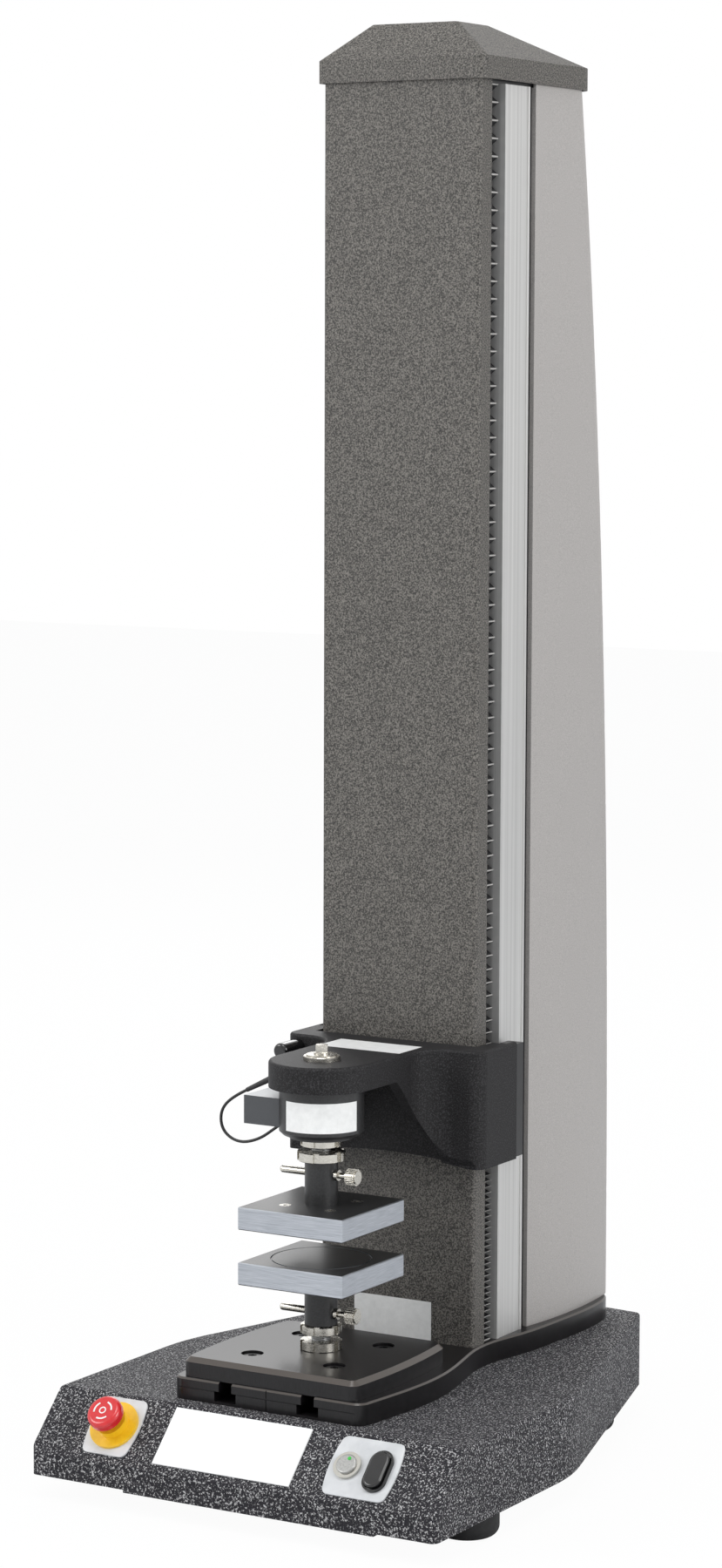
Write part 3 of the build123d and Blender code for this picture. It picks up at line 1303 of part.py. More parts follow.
y_panel_face = y_cavity_back
with BuildPart() as rear_connectors:
    with Locations((inlet_x, y_panel_face + 2.0, z_rear_panel)):
        Box(34, 2.0, 27, align=(Align.CENTER, Align.MAX, Align.CENTER))
        Box(27.6, 26, 20.6, align=(Align.CENTER, Align.MAX, Align.CENTER))
    with Locations((inlet_x, y_panel_face + 3.0, z_rear_panel)):
        Box(24, 18, 17, align=(Align.CENTER, Align.MAX, Align.CENTER), mode=Mode.SUBTRACT)
    with Locations((inlet_x - 7, y_panel_face - 14, z_rear_panel - 2),
                   (inlet_x, y_panel_face - 14, z_rear_panel + 2),
                   (inlet_x + 7, y_panel_face - 14, z_rear_panel - 2)):
        Box(2, 26, 4, align=(Align.CENTER, Align.CENTER, Align.CENTER))
    with Locations((switch_x, y_panel_face + 2.0, z_rear_panel)):
        Box(19, 2.0, 25, align=(Align.CENTER, Align.MAX, Align.CENTER))
        Box(13.6, 18, 19.6, align=(Align.CENTER, Align.MAX, Align.CENTER))
    with Locations((switch_x, y_panel_face + 3.0, z_rear_panel)):
        Box(11, 13, 17, align=(Align.CENTER, Align.MAX, Align.CENTER), mode=Mode.SUBTRACT)
    with Locations((port_x - 14, y_panel_face + 1.0, z_rear_panel),
                   (port_x + 16, y_panel_face + 1.0, z_rear_panel)):
        Box(12.4, 18, 11.4, align=(Align.CENTER, Align.MAX, Align.CENTER))
    with Locations((port_x - 14, y_panel_face + 2.0, z_rear_panel),
                   (port_x + 16, y_panel_face + 2.0, z_rear_panel)):
        Box(9, 12, 8, align=(Align.CENTER, Align.MAX, Align.CENTER), mode=Mode.SUBTRACT)
keep("rear_connectors", rear_connectors)

with BuildPart() as mains_switch:
    with BuildSketch(Plane.YZ.offset(switch_x)):
        with BuildLine():
            ThreePointArc((y_panel_face + 3.2, z_rear_panel - 7.2), (y_panel_face + 1.6, z_rear_panel),
                          (y_panel_face + 3.2, z_rear_panel + 7.2))
            Polyline((y_panel_face + 3.2, z_rear_panel + 7.2), (y_panel_face - 4, z_rear_panel + 5.5),
                     (y_panel_face - 4, z_rear_panel - 5.5), (y_panel_face + 3.2, z_rear_panel - 7.2))
        make_face()
    extrude(amount=5.0, both=True)
    with BuildSketch(Plane.YZ.offset(switch_x)):
        with Locations((y_panel_face, z_rear_panel)):
            Circle(rocker_pivot_radius)
    extrude(amount=5.4, both=True)
keep("mains_switch", mains_switch)

# Thin plates on the sloped panel: emergency stop legend, bare sign and button plate.
with BuildPart() as panel_plates:
    with BuildSketch(panel) as plates_plan:
        for plate_x, plate_up, width, height in (
                (estop_x, estop_up, estop_plate_width, estop_plate_height),
                (button_plate_x, button_plate_up, button_plate_width, button_plate_height)):
            right = plate_x + width / 2
            left = plate_x - width / 2
            low = plate_up - height / 2
            high = plate_up + height / 2
            with BuildLine():
                Line((left, high), (right, high))
                ThreePointArc((right, high), (right + plate_bulge, plate_up), (right, low))
                Line((right, low), (left, low))
                ThreePointArc((left, low), (left - plate_bulge, plate_up), (left, high))
            make_face()
        fillet(plates_plan.vertices(), radius=plate_corner)
        with Locations((estop_x, estop_up)):
            Circle(estop_tube_radius + running_fit, mode=Mode.SUBTRACT)
        with Locations((sign_x, sign_up)):
            Rectangle(sign_width, sign_height)
        with Locations((push_x, push_up)):
            Circle(estop_tube_radius + running_fit, mode=Mode.SUBTRACT)
        with Locations((rocker_x, rocker_up)):
            Rectangle(rocker_width - 4, rocker_length - 8, mode=Mode.SUBTRACT)
    extrude(amount=plate_thickness)
keep("panel_plates", panel_plates)

# Emergency stop: yellow collar with its threaded tube, sprung stem and red head.
z_ring = plate_thickness + estop_ring_height
z_neck = z_ring + estop_neck_height
with BuildPart() as estop_collar:
    for radius, bottom, top in ((estop_tube_radius, -control_tube_length, plate_thickness),
                                (estop_ring_radius, plate_thickness, z_ring),
                                (estop_neck_radius, z_ring, z_neck)):
        with BuildSketch(panel.offset(bottom)):
            with Locations((estop_x, estop_up)):
                Circle(radius)
        extrude(amount=top - bottom)
    with BuildSketch(panel.offset(-control_tube_length)):
        with Locations((estop_x, estop_up)):
            Circle(estop_stem_radius + running_fit)
    extrude(amount=control_tube_length + z_neck, mode=Mode.SUBTRACT)
keep("estop_collar", estop_collar)

with BuildPart() as estop_stem:
    with BuildSketch(panel.offset(-control_tube_length + estop_travel + 0.6)):
        with Locations((estop_x, estop_up)):
            Circle(estop_stem_radius)
    extrude(amount=control_tube_length - estop_travel + estop_head_lift + 5.4)
keep("estop_stem", estop_stem)

with BuildPart() as estop_head:
    with BuildSketch(panel.offset(estop_head_lift)):
        with Locations((estop_x, estop_up)):
            Circle(estop_head_radius)
    extrude(amount=estop_head_height)
    along = Vector(*panel_normal)
    head_edges = estop_head.edges().sort_by(lambda e: e.center().dot(along))
    fillet(head_edges[-1], radius=4.0)
    head_edges = estop_head.edges().sort_by(lambda e: e.center().dot(along))
    fillet(head_edges[0], radius=2.0)
    with BuildSketch(panel.offset(estop_head_lift)):
        with Locations((estop_x, estop_up)):
            Circle(estop_stem_radius + running_fit)
    extrude(amount=6.5, mode=Mode.SUBTRACT)
keep("estop_head", estop_head)

# Bezels of the push-button and of the rocker.
rocker_inner_width = rocker_width - 2 * rocker_rim
rocker_inner_length = rocker_length - 2 * rocker_rim
with BuildPart() as button_bezels:
    with BuildSketch(panel.offset(-control_tube_length)):
        with Locations((push_x, push_up)):
            Circle(estop_tube_radius)
            Circle(push_cap_radius + running_fit, mode=Mode.SUBTRACT)
    extrude(amount=control_tube_length + plate_thickness)
    with BuildSketch(panel.offset(plate_thickness)):
        with Locations((push_x, push_up)):
            Circle(push_bezel_radius)
            Circle(push_cap_radius + running_fit, mode=Mode.SUBTRACT)
        with Locations((rocker_x, rocker_up)):
            SlotOverall(rocker_length, rocker_width, rotation=90)
            SlotOverall(rocker_inner_length, rocker_inner_width, rotation=90, mode=Mode.SUBTRACT)
    extrude(amount=2.6)
keep("button_bezels", button_bezels)

with BuildPart() as push_button:
    with BuildSketch(panel.offset(plate_thickness + 2.6 + push_proud)):
        with Locations((push_x, push_up)):
            Circle(push_cap_radius)
    extrude(amount=-push_depth)
    cap_edges = push_button.edges().sort_by(lambda e: e.center().dot(along))
    fillet(cap_edges[-1], radius=1.2)
keep("push_button", push_button)

with BuildPart() as jog_rocker:
    with BuildSketch(panel.offset(plate_thickness + rocker_lift)):
        with Locations((rocker_x, rocker_up)):
            SlotOverall(rocker_inner_length - 2 * rocker_play, rocker_inner_width - 2 * rocker_play, rotation=90)
    extrude(amount=rocker_proud + rocker_rim - rocker_lift + 1.0)
    rocker_edges = jog_rocker.faces().sort_by(lambda f: f.center().dot(along))[-1].edges()
    fillet(rocker_edges, radius=1.8)
    with BuildSketch(panel.offset(-rocker_neck_depth)):
        with Locations((rocker_x, rocker_up)):
            Rectangle(rocker_neck_width, rocker_neck_width)
    extrude(amount=rocker_neck_depth + plate_thickness + rocker_lift)
    rocker_axis = panel.from_local_coords((rocker_x, rocker_up, 0))
    with BuildSketch(Plane(origin=rocker_axis, z_dir=(1, 0, 0))):
        Circle(rocker_pivot_radius)
    extrude(amount=rocker_neck_width / 2 + 3.0, both=True)
keep("jog_rocker", jog_rocker)

# Switch blocks behind the panel.
with BuildPart() as panel_switch_blocks:
    with BuildSketch(panel.offset(-control_tube_length)):
        with Locations((estop_x, estop_up)):
            Rectangle(30, 30)
        with Locations((push_x, push_up)):
            Rectangle(24, 24)
    extrude(amount=-16)
    with BuildSketch(panel.offset(-base_wall)):
        with Locations((rocker_x, rocker_up)):
            Rectangle(26, 30)
    extrude(amount=-12)
keep("panel_switch_blocks", panel_switch_blocks)
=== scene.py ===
from math import cos, pi, radians, sin

import bpy
from mathutils import Matrix, Vector


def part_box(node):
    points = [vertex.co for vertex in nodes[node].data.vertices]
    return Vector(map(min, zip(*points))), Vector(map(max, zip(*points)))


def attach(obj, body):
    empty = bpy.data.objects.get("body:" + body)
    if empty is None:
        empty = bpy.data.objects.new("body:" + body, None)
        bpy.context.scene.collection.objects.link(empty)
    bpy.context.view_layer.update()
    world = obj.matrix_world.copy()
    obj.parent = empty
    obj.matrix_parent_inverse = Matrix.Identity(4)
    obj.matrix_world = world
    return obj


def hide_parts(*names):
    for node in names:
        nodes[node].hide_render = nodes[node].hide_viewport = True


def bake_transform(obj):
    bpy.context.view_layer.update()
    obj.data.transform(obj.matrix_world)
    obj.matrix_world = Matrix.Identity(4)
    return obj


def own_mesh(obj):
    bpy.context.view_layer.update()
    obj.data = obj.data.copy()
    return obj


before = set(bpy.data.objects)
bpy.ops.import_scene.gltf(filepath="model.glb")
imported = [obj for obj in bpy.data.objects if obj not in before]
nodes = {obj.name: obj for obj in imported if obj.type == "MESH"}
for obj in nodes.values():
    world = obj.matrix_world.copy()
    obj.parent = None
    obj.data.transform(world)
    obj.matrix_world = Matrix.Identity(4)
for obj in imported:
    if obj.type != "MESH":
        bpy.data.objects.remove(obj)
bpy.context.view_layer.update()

# Camera: to the right of the stand and a little above the crosshead, with a long lens.
# Its right and up directions and its place come from the photograph's own edges.
camera_data = bpy.data.cameras.new("camera")
camera_data.sensor_width = 36.0
camera_data.lens = 92.1
camera_data.clip_end = 20.0
camera = bpy.data.objects.new("camera", camera_data)
bpy.context.scene.collection.objects.link(camera)
camera_right = Vector((0.8584198, 0.5129372, 0.0032980))
camera_up = Vector((-0.0564327, 0.0880479, 0.9945164))
camera_back = camera_right.cross(camera_up)
camera_place = Vector((1.7205, -2.9411, 0.9455))
camera.matrix_world = Matrix((
    (camera_right.x, camera_up.x, camera_back.x, camera_place.x),
    (camera_right.y, camera_up.y, camera_back.y, camera_place.y),
    (camera_right.z, camera_up.z, camera_back.z, camera_place.z),
    (0, 0, 0, 1)))
bpy.context.scene.camera = camera
bpy.context.scene.view_settings.view_transform = "Standard"


def lin(text):
    """Turns an sRGB hex colour into the linear values that shaders take."""
    parts = [int(text[i:i + 2], 16) / 255 for i in (1, 3, 5)]
    return tuple(c / 12.92 if c <= 0.04045 else ((c + 0.055) / 1.055) ** 2.4 for c in parts) + (1.0,)


def add(tree, kind, links=None, values=None, **settings):
    """Adds one node with its settings, fixed input values and incoming links."""
    node = tree.nodes.new(kind)
    for key, value in settings.items():
        setattr(node, key, value)
    for key, value in (values or {}).items():
        node.inputs[key].default_value = value
    for key, source in (links or {}).items():
        tree.links.new(source, node.inputs[key])
    return node


# Backdrop and floor: plain white paper that keeps only a trace of the stand's shadow. The
# paper is white to the camera and in reflections, and a plain pale grey to the object.
world = bpy.data.worlds.new("studio")
bpy.context.scene.world = world
world.use_nodes = True
world.node_tree.nodes.clear()
rays = add(world.node_tree, "ShaderNodeLightPath")
seen = add(world.node_tree, "ShaderNodeMath",
           {0: rays.outputs["Is Camera Ray"], 1: rays.outputs["Is Glossy Ray"]}, operation="MAXIMUM")
seen = add(world.node_tree, "ShaderNodeMath",
           {0: seen.outputs[0], 1: rays.outputs["Is Transmission Ray"]}, operation="MAXIMUM")
ambient = add(world.node_tree, "ShaderNodeBackground", values={"Color": lin("#e9edf2"), "Strength": 0.55})
white = add(world.node_tree, "ShaderNodeBackground", values={"Color": (1, 1, 1, 1), "Strength": 1.0})
sky = add(world.node_tree, "ShaderNodeMixShader",
          {0: seen.outputs[0], 1: ambient.outputs[0], 2: white.outputs[0]})
add(world.node_tree, "ShaderNodeOutputWorld", {"Surface": sky.outputs[0]})

paper = bpy.data.materials.new("white_paper")
paper.use_nodes = True
paper.node_tree.nodes.clear()
rays = add(paper.node_tree, "ShaderNodeLightPath")
matte = add(paper.node_tree, "ShaderNodeBsdfDiffuse", values={"Color": lin("#f4f4f4")})
glow = add(paper.node_tree, "ShaderNodeEmission", values={"Color": (1, 1, 1, 1), "Strength": 1.0})
paper_whiteness = 0.96
share = add(paper.node_tree, "ShaderNodeMath", {0: rays.outputs["Is Camera Ray"]}, {1: paper_whiteness},
            operation="MULTIPLY")
shown = add(paper.node_tree, "ShaderNodeMixShader",
            {0: share.outputs[0], 1: matte.outputs[0], 2: glow.outputs[0]})
add(paper.node_tree, "ShaderNodeOutputMaterial", {"Surface": shown.outputs[0]})
floor_mesh = bpy.data.meshes.new("floor")
floor_half = 9.0
floor_mesh.from_pydata([(-floor_half, -floor_half, 0), (floor_half, -floor_half, 0),
                        (floor_half, floor_half, 0), (-floor_half, floor_half, 0)], [], [(0, 1, 2, 3)])
floor = bpy.data.objects.new("floor", floor_mesh)
bpy.context.scene.collection.objects.link(floor)
floor.data.materials.append(paper)

# Lamps: a large soft box at the front left, a second one at the right that lights the
# silver column, and a top light that brings out the edges of the black plates.
for lamp_name, place, target, size, power in (
        ("key", (-2.6, -2.6, 2.4), (0, 0, 0.5), 1.8, 62),
        ("side", (3.2, -0.6, 1.7), (0, 0, 0.6), 1.6, 48),
        ("top", (0.3, -1.2, 3.6), (0, 0, 0.4), 1.6, 40),
        ("back", (-1.6, 2.8, 2.2), (0, 0, 0.6), 1.8, 30)):
    lamp_data = bpy.data.lights.new(lamp_name, "AREA")
    lamp_data.size = size
    lamp_data.energy = power
    lamp = bpy.data.objects.new(lamp_name, lamp_data)
    bpy.context.scene.collection.objects.link(lamp)
    lamp.location = place
    lamp.rotation_euler = (Vector(target) - Vector(place)).to_track_quat("-Z", "Y").to_euler()


def start_material(name, colour, roughness, metallic=0.0, coat=0.0):
    """Starts a material: its tree, its shader and the object's own coordinates."""
    material = bpy.data.materials.new(name)
    material.use_nodes = True
    tree = material.node_tree
    tree.nodes.clear()
    place = add(tree, "ShaderNodeTexCoord")
    shader = add(tree, "ShaderNodeBsdfPrincipled", values={
        "Base Color": lin(colour), "Roughness": roughness, "Metallic": metallic, "Coat Weight": coat})
    add(tree, "ShaderNodeOutputMaterial", {"Surface": shader.outputs[0]})
    return material, tree, shader, place.outputs["Object"]


def grained(material_parts, dark, light, grain_mm, low, high, bump=0.0, rough=None, stretch=(1, 1, 1)):
    """Mottles a material between two colours at a grain size, with bump and roughness to match."""
    material, tree, shader, place = material_parts
    spread = add(tree, "ShaderNodeMapping", {"Vector": place}, {"Scale": stretch})
    noise = add(tree, "ShaderNodeTexNoise", {"Vector": spread.outputs[0]},
                {"Scale": 1000.0 / grain_mm, "Detail": 3.0, "Roughness": 0.6})
    ramp = add(tree, "ShaderNodeValToRGB", {"Fac": noise.outputs["Fac"]})
    ramp.color_ramp.elements[0].position = low
    ramp.color_ramp.elements[0].color = lin(dark)
    ramp.color_ramp.elements[1].position = high
    ramp.color_ramp.elements[1].color = lin(light)
    tree.links.new(ramp.outputs[0], shader.inputs["Base Color"])
    if bump:
        relief = add(tree, "ShaderNodeBump", {"Height": noise.outputs["Fac"]},
                     {"Strength": 1.0, "Distance": bump / 1000.0})
        tree.links.new(relief.outputs[0], shader.inputs["Normal"])
    if rough:
        varied = add(tree, "ShaderNodeMapRange", {"Value": noise.outputs["Fac"]},
                   {"From Min": 0.3, "From Max": 0.7, "To Min": rough[0], "To Max": rough[1]})
        tree.links.new(varied.outputs[0], shader.inputs["Roughness"])
    return material


def dress(material, *names):
    """Gives CAD nodes their material."""
    for name in names:
        mesh = nodes[name].data
        mesh.materials.clear()
        mesh.materials.append(material)


# Base casting: iron, cast and ground, then sprayed with a near-black coating that is
# spattered with white flecks 1 to 2 mm across. Fainter specks lie between them, and the
# coat reflects little, so the top faces stay as dark as the flanks.
fleck_scale = 640.0
speck_scale = 1500.0
speck_share = 0.3
coat_gloss = 0.22
speckle = start_material("spattered_base_coating", "#26232b", 0.7)
material, tree, shader, place = speckle
shader.inputs["Specular IOR Level"].default_value = coat_gloss
flecks = add(tree, "ShaderNodeTexNoise", {"Vector": place},
             {"Scale": fleck_scale, "Detail": 3.0, "Roughness": 0.7})
fleck_ramp = add(tree, "ShaderNodeValToRGB", {"Fac": flecks.outputs["Fac"]})
fleck_ramp.color_ramp.elements[0].position = 0.56
fleck_ramp.color_ramp.elements[0].color = lin("#131217")
fleck_ramp.color_ramp.elements[1].position = 0.60
fleck_ramp.color_ramp.elements[1].color = lin("#d9d8d8")
haze = add(tree, "ShaderNodeTexNoise", {"Vector": place}, {"Scale": speck_scale, "Detail": 2.0})
haze_ramp = add(tree, "ShaderNodeValToRGB", {"Fac": haze.outputs["Fac"]})
haze_ramp.color_ramp.elements[0].position = 0.4
haze_ramp.color_ramp.elements[0].color = lin("#0f0e12")
haze_ramp.color_ramp.elements[1].position = 0.66
haze_ramp.color_ramp.elements[1].color = lin("#5a585e")
speckled = add(tree, "ShaderNodeMix", {"A": fleck_ramp.outputs[0], "B": haze_ramp.outputs[0]},
               {"Factor": speck_share}, data_type="RGBA")
tree.links.new(speckled.outputs["Result"], shader.inputs["Base Color"])
relief = add(tree, "ShaderNodeBump", {"Height": flecks.outputs["Fac"]}, {"Strength": 0.4, "Distance": 0.0001})
tree.links.new(relief.outputs[0], shader.inputs["Normal"])
dress(material, "base_casting")

# Floor pan and rear panel: sheet steel, cut and folded, with a black powder coat that has
# a fine matte tooth. The pan closes the base from below.
pan_coat = grained(start_material("black_powder_coat", "#1a1b1c", 0.55),
                   "#17181a", "#2b2c2e", 0.8, 0.35, 0.7, 0.04)
dress(pan_coat, "floor_pan", "rear_panel")

# Feet: moulded rubber, screwed up into the base's bosses. They are matte, with the faint
# bloom that rubber gets.
foot_rubber = grained(start_material("moulded_rubber", "#151516", 0.78),
                      "#101011", "#1e1e1f", 6.0, 0.3, 0.75, 0.05)
dress(foot_rubber, "feet")

# Slotted plate and grip plate: milled aluminium, bead blasted and anodised black. The
# upper chamfers carry a painted highlight, paler and browner, chosen by their tilt.
edge_normal_z = 0.7
plate_gloss = 0.3
# Each plate's base tone, and the paler, browner tone of its painted chamfer highlight.
for plate_name, plate_tone, chamfer_highlight_tone in (("tee_slot_plate", "#141214", "#6a635d"),
                                          ("grip_plate", "#151315", "#726a63")):
    plate_parts = start_material("black_anodised_" + plate_name, plate_tone, 0.3, 0.0, 0.08)
    material, tree, shader, place = plate_parts
    milling = add(tree, "ShaderNodeMapping", {"Vector": place}, {"Scale": (6.0, 1.0, 1.0)})
    noise = add(tree, "ShaderNodeTexNoise", {"Vector": milling.outputs[0]}, {"Scale": 140.0, "Detail": 3.0})
    tone = add(tree, "ShaderNodeValToRGB", {"Fac": noise.outputs["Fac"]})
    tone.color_ramp.elements[0].position = 0.3
    tone.color_ramp.elements[0].color = lin("#0d0c0d")
    tone.color_ramp.elements[1].position = 0.75
    tone.color_ramp.elements[1].color = lin("#191719")
    facing = add(tree, "ShaderNodeNewGeometry")
    parts = add(tree, "ShaderNodeSeparateXYZ", {0: facing.outputs["Normal"]})
    tilt = add(tree, "ShaderNodeMath", {0: parts.outputs["Z"]}, {1: edge_normal_z}, operation="SUBTRACT")
    tilt = add(tree, "ShaderNodeMath", {0: tilt.outputs[0]}, operation="ABSOLUTE")
    shader.inputs["Specular IOR Level"].default_value = plate_gloss
    # Painted highlight: faces whose normal points 45 degrees up, the upper chamfers, are mixed towards the
    # pale tone.
    chamfer_highlight_mask = add(tree, "ShaderNodeMapRange", {"Value": tilt.outputs[0]},
               {"From Min": 0.05, "From Max": 0.12, "To Min": 0.45, "To Max": 0.0})
    varied = add(tree, "ShaderNodeMix", {"Factor": chamfer_highlight_mask.outputs[0], "A": tone.outputs[0]},
               {"B": lin(chamfer_highlight_tone)}, data_type="RGBA")
    tree.links.new(varied.outputs["Result"], shader.inputs["Base Color"])
    dress(material, plate_name)
black_anodised = grained(start_material("black_anodised_aluminium", "#141315", 0.34),
                         "#0d0d0e", "#1b1a1c", 9.0, 0.3, 0.75)
dress(black_anodised, "carriage_plate", "crosshead_end_bars", "nut_bracket", "column_top_plate",
      "groove_rails")

# Small fasteners, bearing blocks and the screw's end housings: steel, black oxide. The
# oxide is thin and oily, so it keeps a dull metal sheen.
black_oxide = grained(start_material("black_oxide_steel", "#1c1c1e", 0.38, 0.6),
                      "#151516", "#2a2a2c", 3.0, 0.3, 0.7)
dress(black_oxide, "grip_plate_fasteners", "crosshead_screws", "bearing_blocks")

# Lock and check rings, pins and bolt: turned steel, nickel plated, which gives them a warm
# bright face with faint turning marks.
nickel = grained(start_material("nickel_plated_steel", "#c8c4bb", 0.22, 1.0),
                 "#a9a59c", "#dcd9d1", 2.5, 0.25, 0.75, 0.01, (0.16, 0.32), (1, 1, 4))
dress(nickel, "lower_lock_ring", "lower_check_ring", "upper_lock_ring", "upper_check_ring", "crosshead_bolt",
      "lower_pin", "upper_pin", "platen_screws")

# Studs and the drive's steel parts: ground steel with turning lines round the axis. The
# lines are drawn as coarse as they need to be to show.
ground = start_material("ground_steel", "#9b9d9f", 0.3, 1.0)
material, tree, shader, place = ground
lines = add(tree, "ShaderNodeTexWave", {"Vector": place}, {"Scale": 210.0, "Distortion": 0.0, "Detail": 0.0},
            wave_type="BANDS", bands_direction="Z")
relief = add(tree, "ShaderNodeBump", {"Height": lines.outputs["Fac"]}, {"Strength": 1.0, "Distance": 0.0004})
tree.links.new(relief.outputs[0], shader.inputs["Normal"])
dress(material, "lower_stud", "upper_stud", "ball_screw")
guide_steel = grained(start_material("ground_guide_steel", "#b4b6b8", 0.24, 1.0),
                      "#9a9c9e", "#c6c8ca", 2.0, 0.3, 0.7, 0.0, (0.18, 0.3), (1, 1, 0.05))
dress(guide_steel, "guide_rails", "guide_blocks", "ball_nut", "estop_stem")

# Adapters and the load cell's body: turned steel under black enamel, satin, with a faint
# mottle where the spray went on thin.
black_enamel = grained(start_material("black_enamel_on_steel", "#1b1b1c", 0.4, 0.0, 0.1),
                       "#161617", "#2a2a2b", 1.6, 0.35, 0.72, 0.02, (0.34, 0.5))
dress(black_enamel, "lower_adapter", "upper_adapter", "load_cell")

# Platens: aluminium plate, milled on its sides with streaks that follow the cutter, and
# anodised black on both faces.
platen_parts = start_material("milled_platen", "#a9adb2", 0.34, 1.0)
material, tree, shader, place = platen_parts
cutter = add(tree, "ShaderNodeMapping", {"Vector": place}, {"Scale": (1.0, 1.0, 40.0)})
marks = add(tree, "ShaderNodeTexNoise", {"Vector": cutter.outputs[0]}, {"Scale": 60.0, "Detail": 4.0})
milled = add(tree, "ShaderNodeValToRGB", {"Fac": marks.outputs["Fac"]})
milled.color_ramp.elements[0].position = 0.3
milled.color_ramp.elements[0].color = lin("#9da1a8")
milled.color_ramp.elements[1].position = 0.7
milled.color_ramp.elements[1].color = lin("#bcc0c6")
film = add(tree, "ShaderNodeTexNoise", {"Vector": place}, {"Scale": 700.0, "Detail": 2.0})
film_tone = add(tree, "ShaderNodeValToRGB", {"Fac": film.outputs["Fac"]})
film_tone.color_ramp.elements[0].position = 0.35
film_tone.color_ramp.elements[0].color = lin("#1b1b1c")
film_tone.color_ramp.elements[1].position = 0.7
film_tone.color_ramp.elements[1].color = lin("#323233")
facing = add(tree, "ShaderNodeNewGeometry")
parts = add(tree, "ShaderNodeSeparateXYZ", {0: facing.outputs["Normal"]})
flat = add(tree, "ShaderNodeMath", {0: parts.outputs["Z"]}, operation="ABSOLUTE")
on_face = add(tree, "ShaderNodeMath", {0: flat.outputs[0]}, {1: 0.9}, operation="GREATER_THAN")
tone = add(tree, "ShaderNodeMix",
           {"Factor": on_face.outputs[0], "A": milled.outputs[0], "B": film_tone.outputs[0]},
           data_type="RGBA")
bare = add(tree, "ShaderNodeMath", {1: on_face.outputs[0]}, {0: 1.0}, operation="SUBTRACT")
tree.links.new(tone.outputs["Result"], shader.inputs["Base Color"])
tree.links.new(bare.outputs[0], shader.inputs["Metallic"])
dress(material, "lower_platen", "upper_platen")

# Load cell's connector box: folded aluminium under satin grey paint, screwed to the cell's
# flank. Its sides are dark and its top is painted pale, a painted highlight of light from above.
box_parts = start_material("grey_box_paint", "#4b4d50", 0.45)
material, tree, shader, place = box_parts
facing = add(tree, "ShaderNodeNewGeometry")
parts = add(tree, "ShaderNodeSeparateXYZ", {0: facing.outputs["Normal"]})
# Painted highlight: faces pointing up take the pale tone, and the sides keep the dark one.
lit_top_mask = add(tree, "ShaderNodeMath", {0: parts.outputs["Z"]}, {1: 0.6}, operation="GREATER_THAN")
tone = add(tree, "ShaderNodeMix", {"Factor": lit_top_mask.outputs[0]},
           {"A": lin("#45474a"), "B": lin("#b9bbbd")}, data_type="RGBA")
tree.links.new(tone.outputs["Result"], shader.inputs["Base Color"])
dress(material, "sensor_box")

# Lead of the load cell: thin round cable in black rubber, in a loose loop from the cell
# to the crosshead's flank, where a moulded boot holds it.
cable_rubber = grained(start_material("cable_rubber", "#161617", 0.5), "#101011", "#232324", 1.2, 0.35, 0.7)
y_load = -0.12202
z_cell = 0.305
y_lead = y_load + 0.035
lead_route = [
    (-0.0296, y_load + 0.0312, z_cell + 0.012),
    (-0.047, y_lead + 0.001, z_cell + 0.006),
    (-0.066, y_lead + 0.0005, z_cell - 0.007),
    (-0.084, y_lead, z_cell - 0.020),
    (-0.105, y_lead, z_cell - 0.025),
    (-0.121, y_lead - 0.0005, z_cell - 0.016),
    (-0.123, y_lead - 0.0005, z_cell + 0.001),
    (-0.112, y_lead, z_cell + 0.014),
    (-0.096, y_lead, z_cell + 0.022),
]
lead_diameter = 0.0026
lead_curve = bpy.data.curves.new("load_cell_lead", "CURVE")
lead_curve.dimensions = "3D"
lead_curve.bevel_depth = lead_diameter / 2
lead_curve.bevel_resolution = 4
lead_curve.resolution_u = 12
lead_curve.use_fill_caps = True
spline = lead_curve.splines.new("NURBS")
spline.points.add(len(lead_route) - 1)
for point, corner in zip(spline.points, lead_route):
    point.co = (*corner, 1.0)
spline.order_u = 3
spline.use_endpoint_u = True
lead = bpy.data.objects.new("load_cell_lead", lead_curve)
bpy.context.scene.collection.objects.link(lead)
lead.data.materials.append(cable_rubber)
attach(lead, "carriage")
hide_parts("sensor_lead")
dress(cable_rubber, "lead_boot", "drive_belt")

# Crosshead: an iron casting, sprayed with a fine-textured black powder coat that reflects
# little. The cap in its flank is polished plastic.
crosshead_coat = grained(start_material("textured_powder_coat_black", "#191819", 0.6),
                         "#100f10", "#3f3e40", 1.2, 0.46, 0.72, 0.06, (0.5, 0.7))
crosshead_gloss = 0.25
crosshead_shader = crosshead_coat.node_tree.nodes["Principled BSDF"]
crosshead_shader.inputs["Specular IOR Level"].default_value = crosshead_gloss
dress(crosshead_coat, "crosshead")
polished = grained(start_material("polished_black_plastic", "#0e0e0f", 0.12, 0.0, 0.3),
                   "#0b0b0c", "#161617", 12.0, 0.3, 0.7)
dress(polished, "socket_cap")

# Front cover and cap: folded and drawn steel under a warm dark grey powder coat, whose
# grain is a little over a millimetre across and catches the light.
cover_coat = grained(start_material("textured_powder_coat_grey", "#3a3835", 0.55),
                     "#211f1d", "#7d7973", 1.3, 0.4, 0.66, 0.06, (0.5, 0.7))
dress(cover_coat, "front_cover", "top_cap")

# Column: extruded aluminium, satin anodised, with long die lines. The rear cover is drawn
# sheet, sprayed silver to match.
die_lines = grained(start_material("satin_anodised_extrusion", "#c2c1bf", 0.36, 0.45),
                    "#b4b3b1", "#cecdcb", 3.0, 0.3, 0.7, 0.0, (0.32, 0.42), (1, 1, 0.004))
dress(die_lines, "column_extrusion", "screw_pulley", "motor_pulley")
silver_spray = grained(start_material("silver_spray_paint", "#a9a5a2", 0.5, 0.15),
                       "#9c9895", "#b6b2af", 0.9, 0.35, 0.7, 0.02, (0.4, 0.52))
dress(silver_spray, "rear_cover")

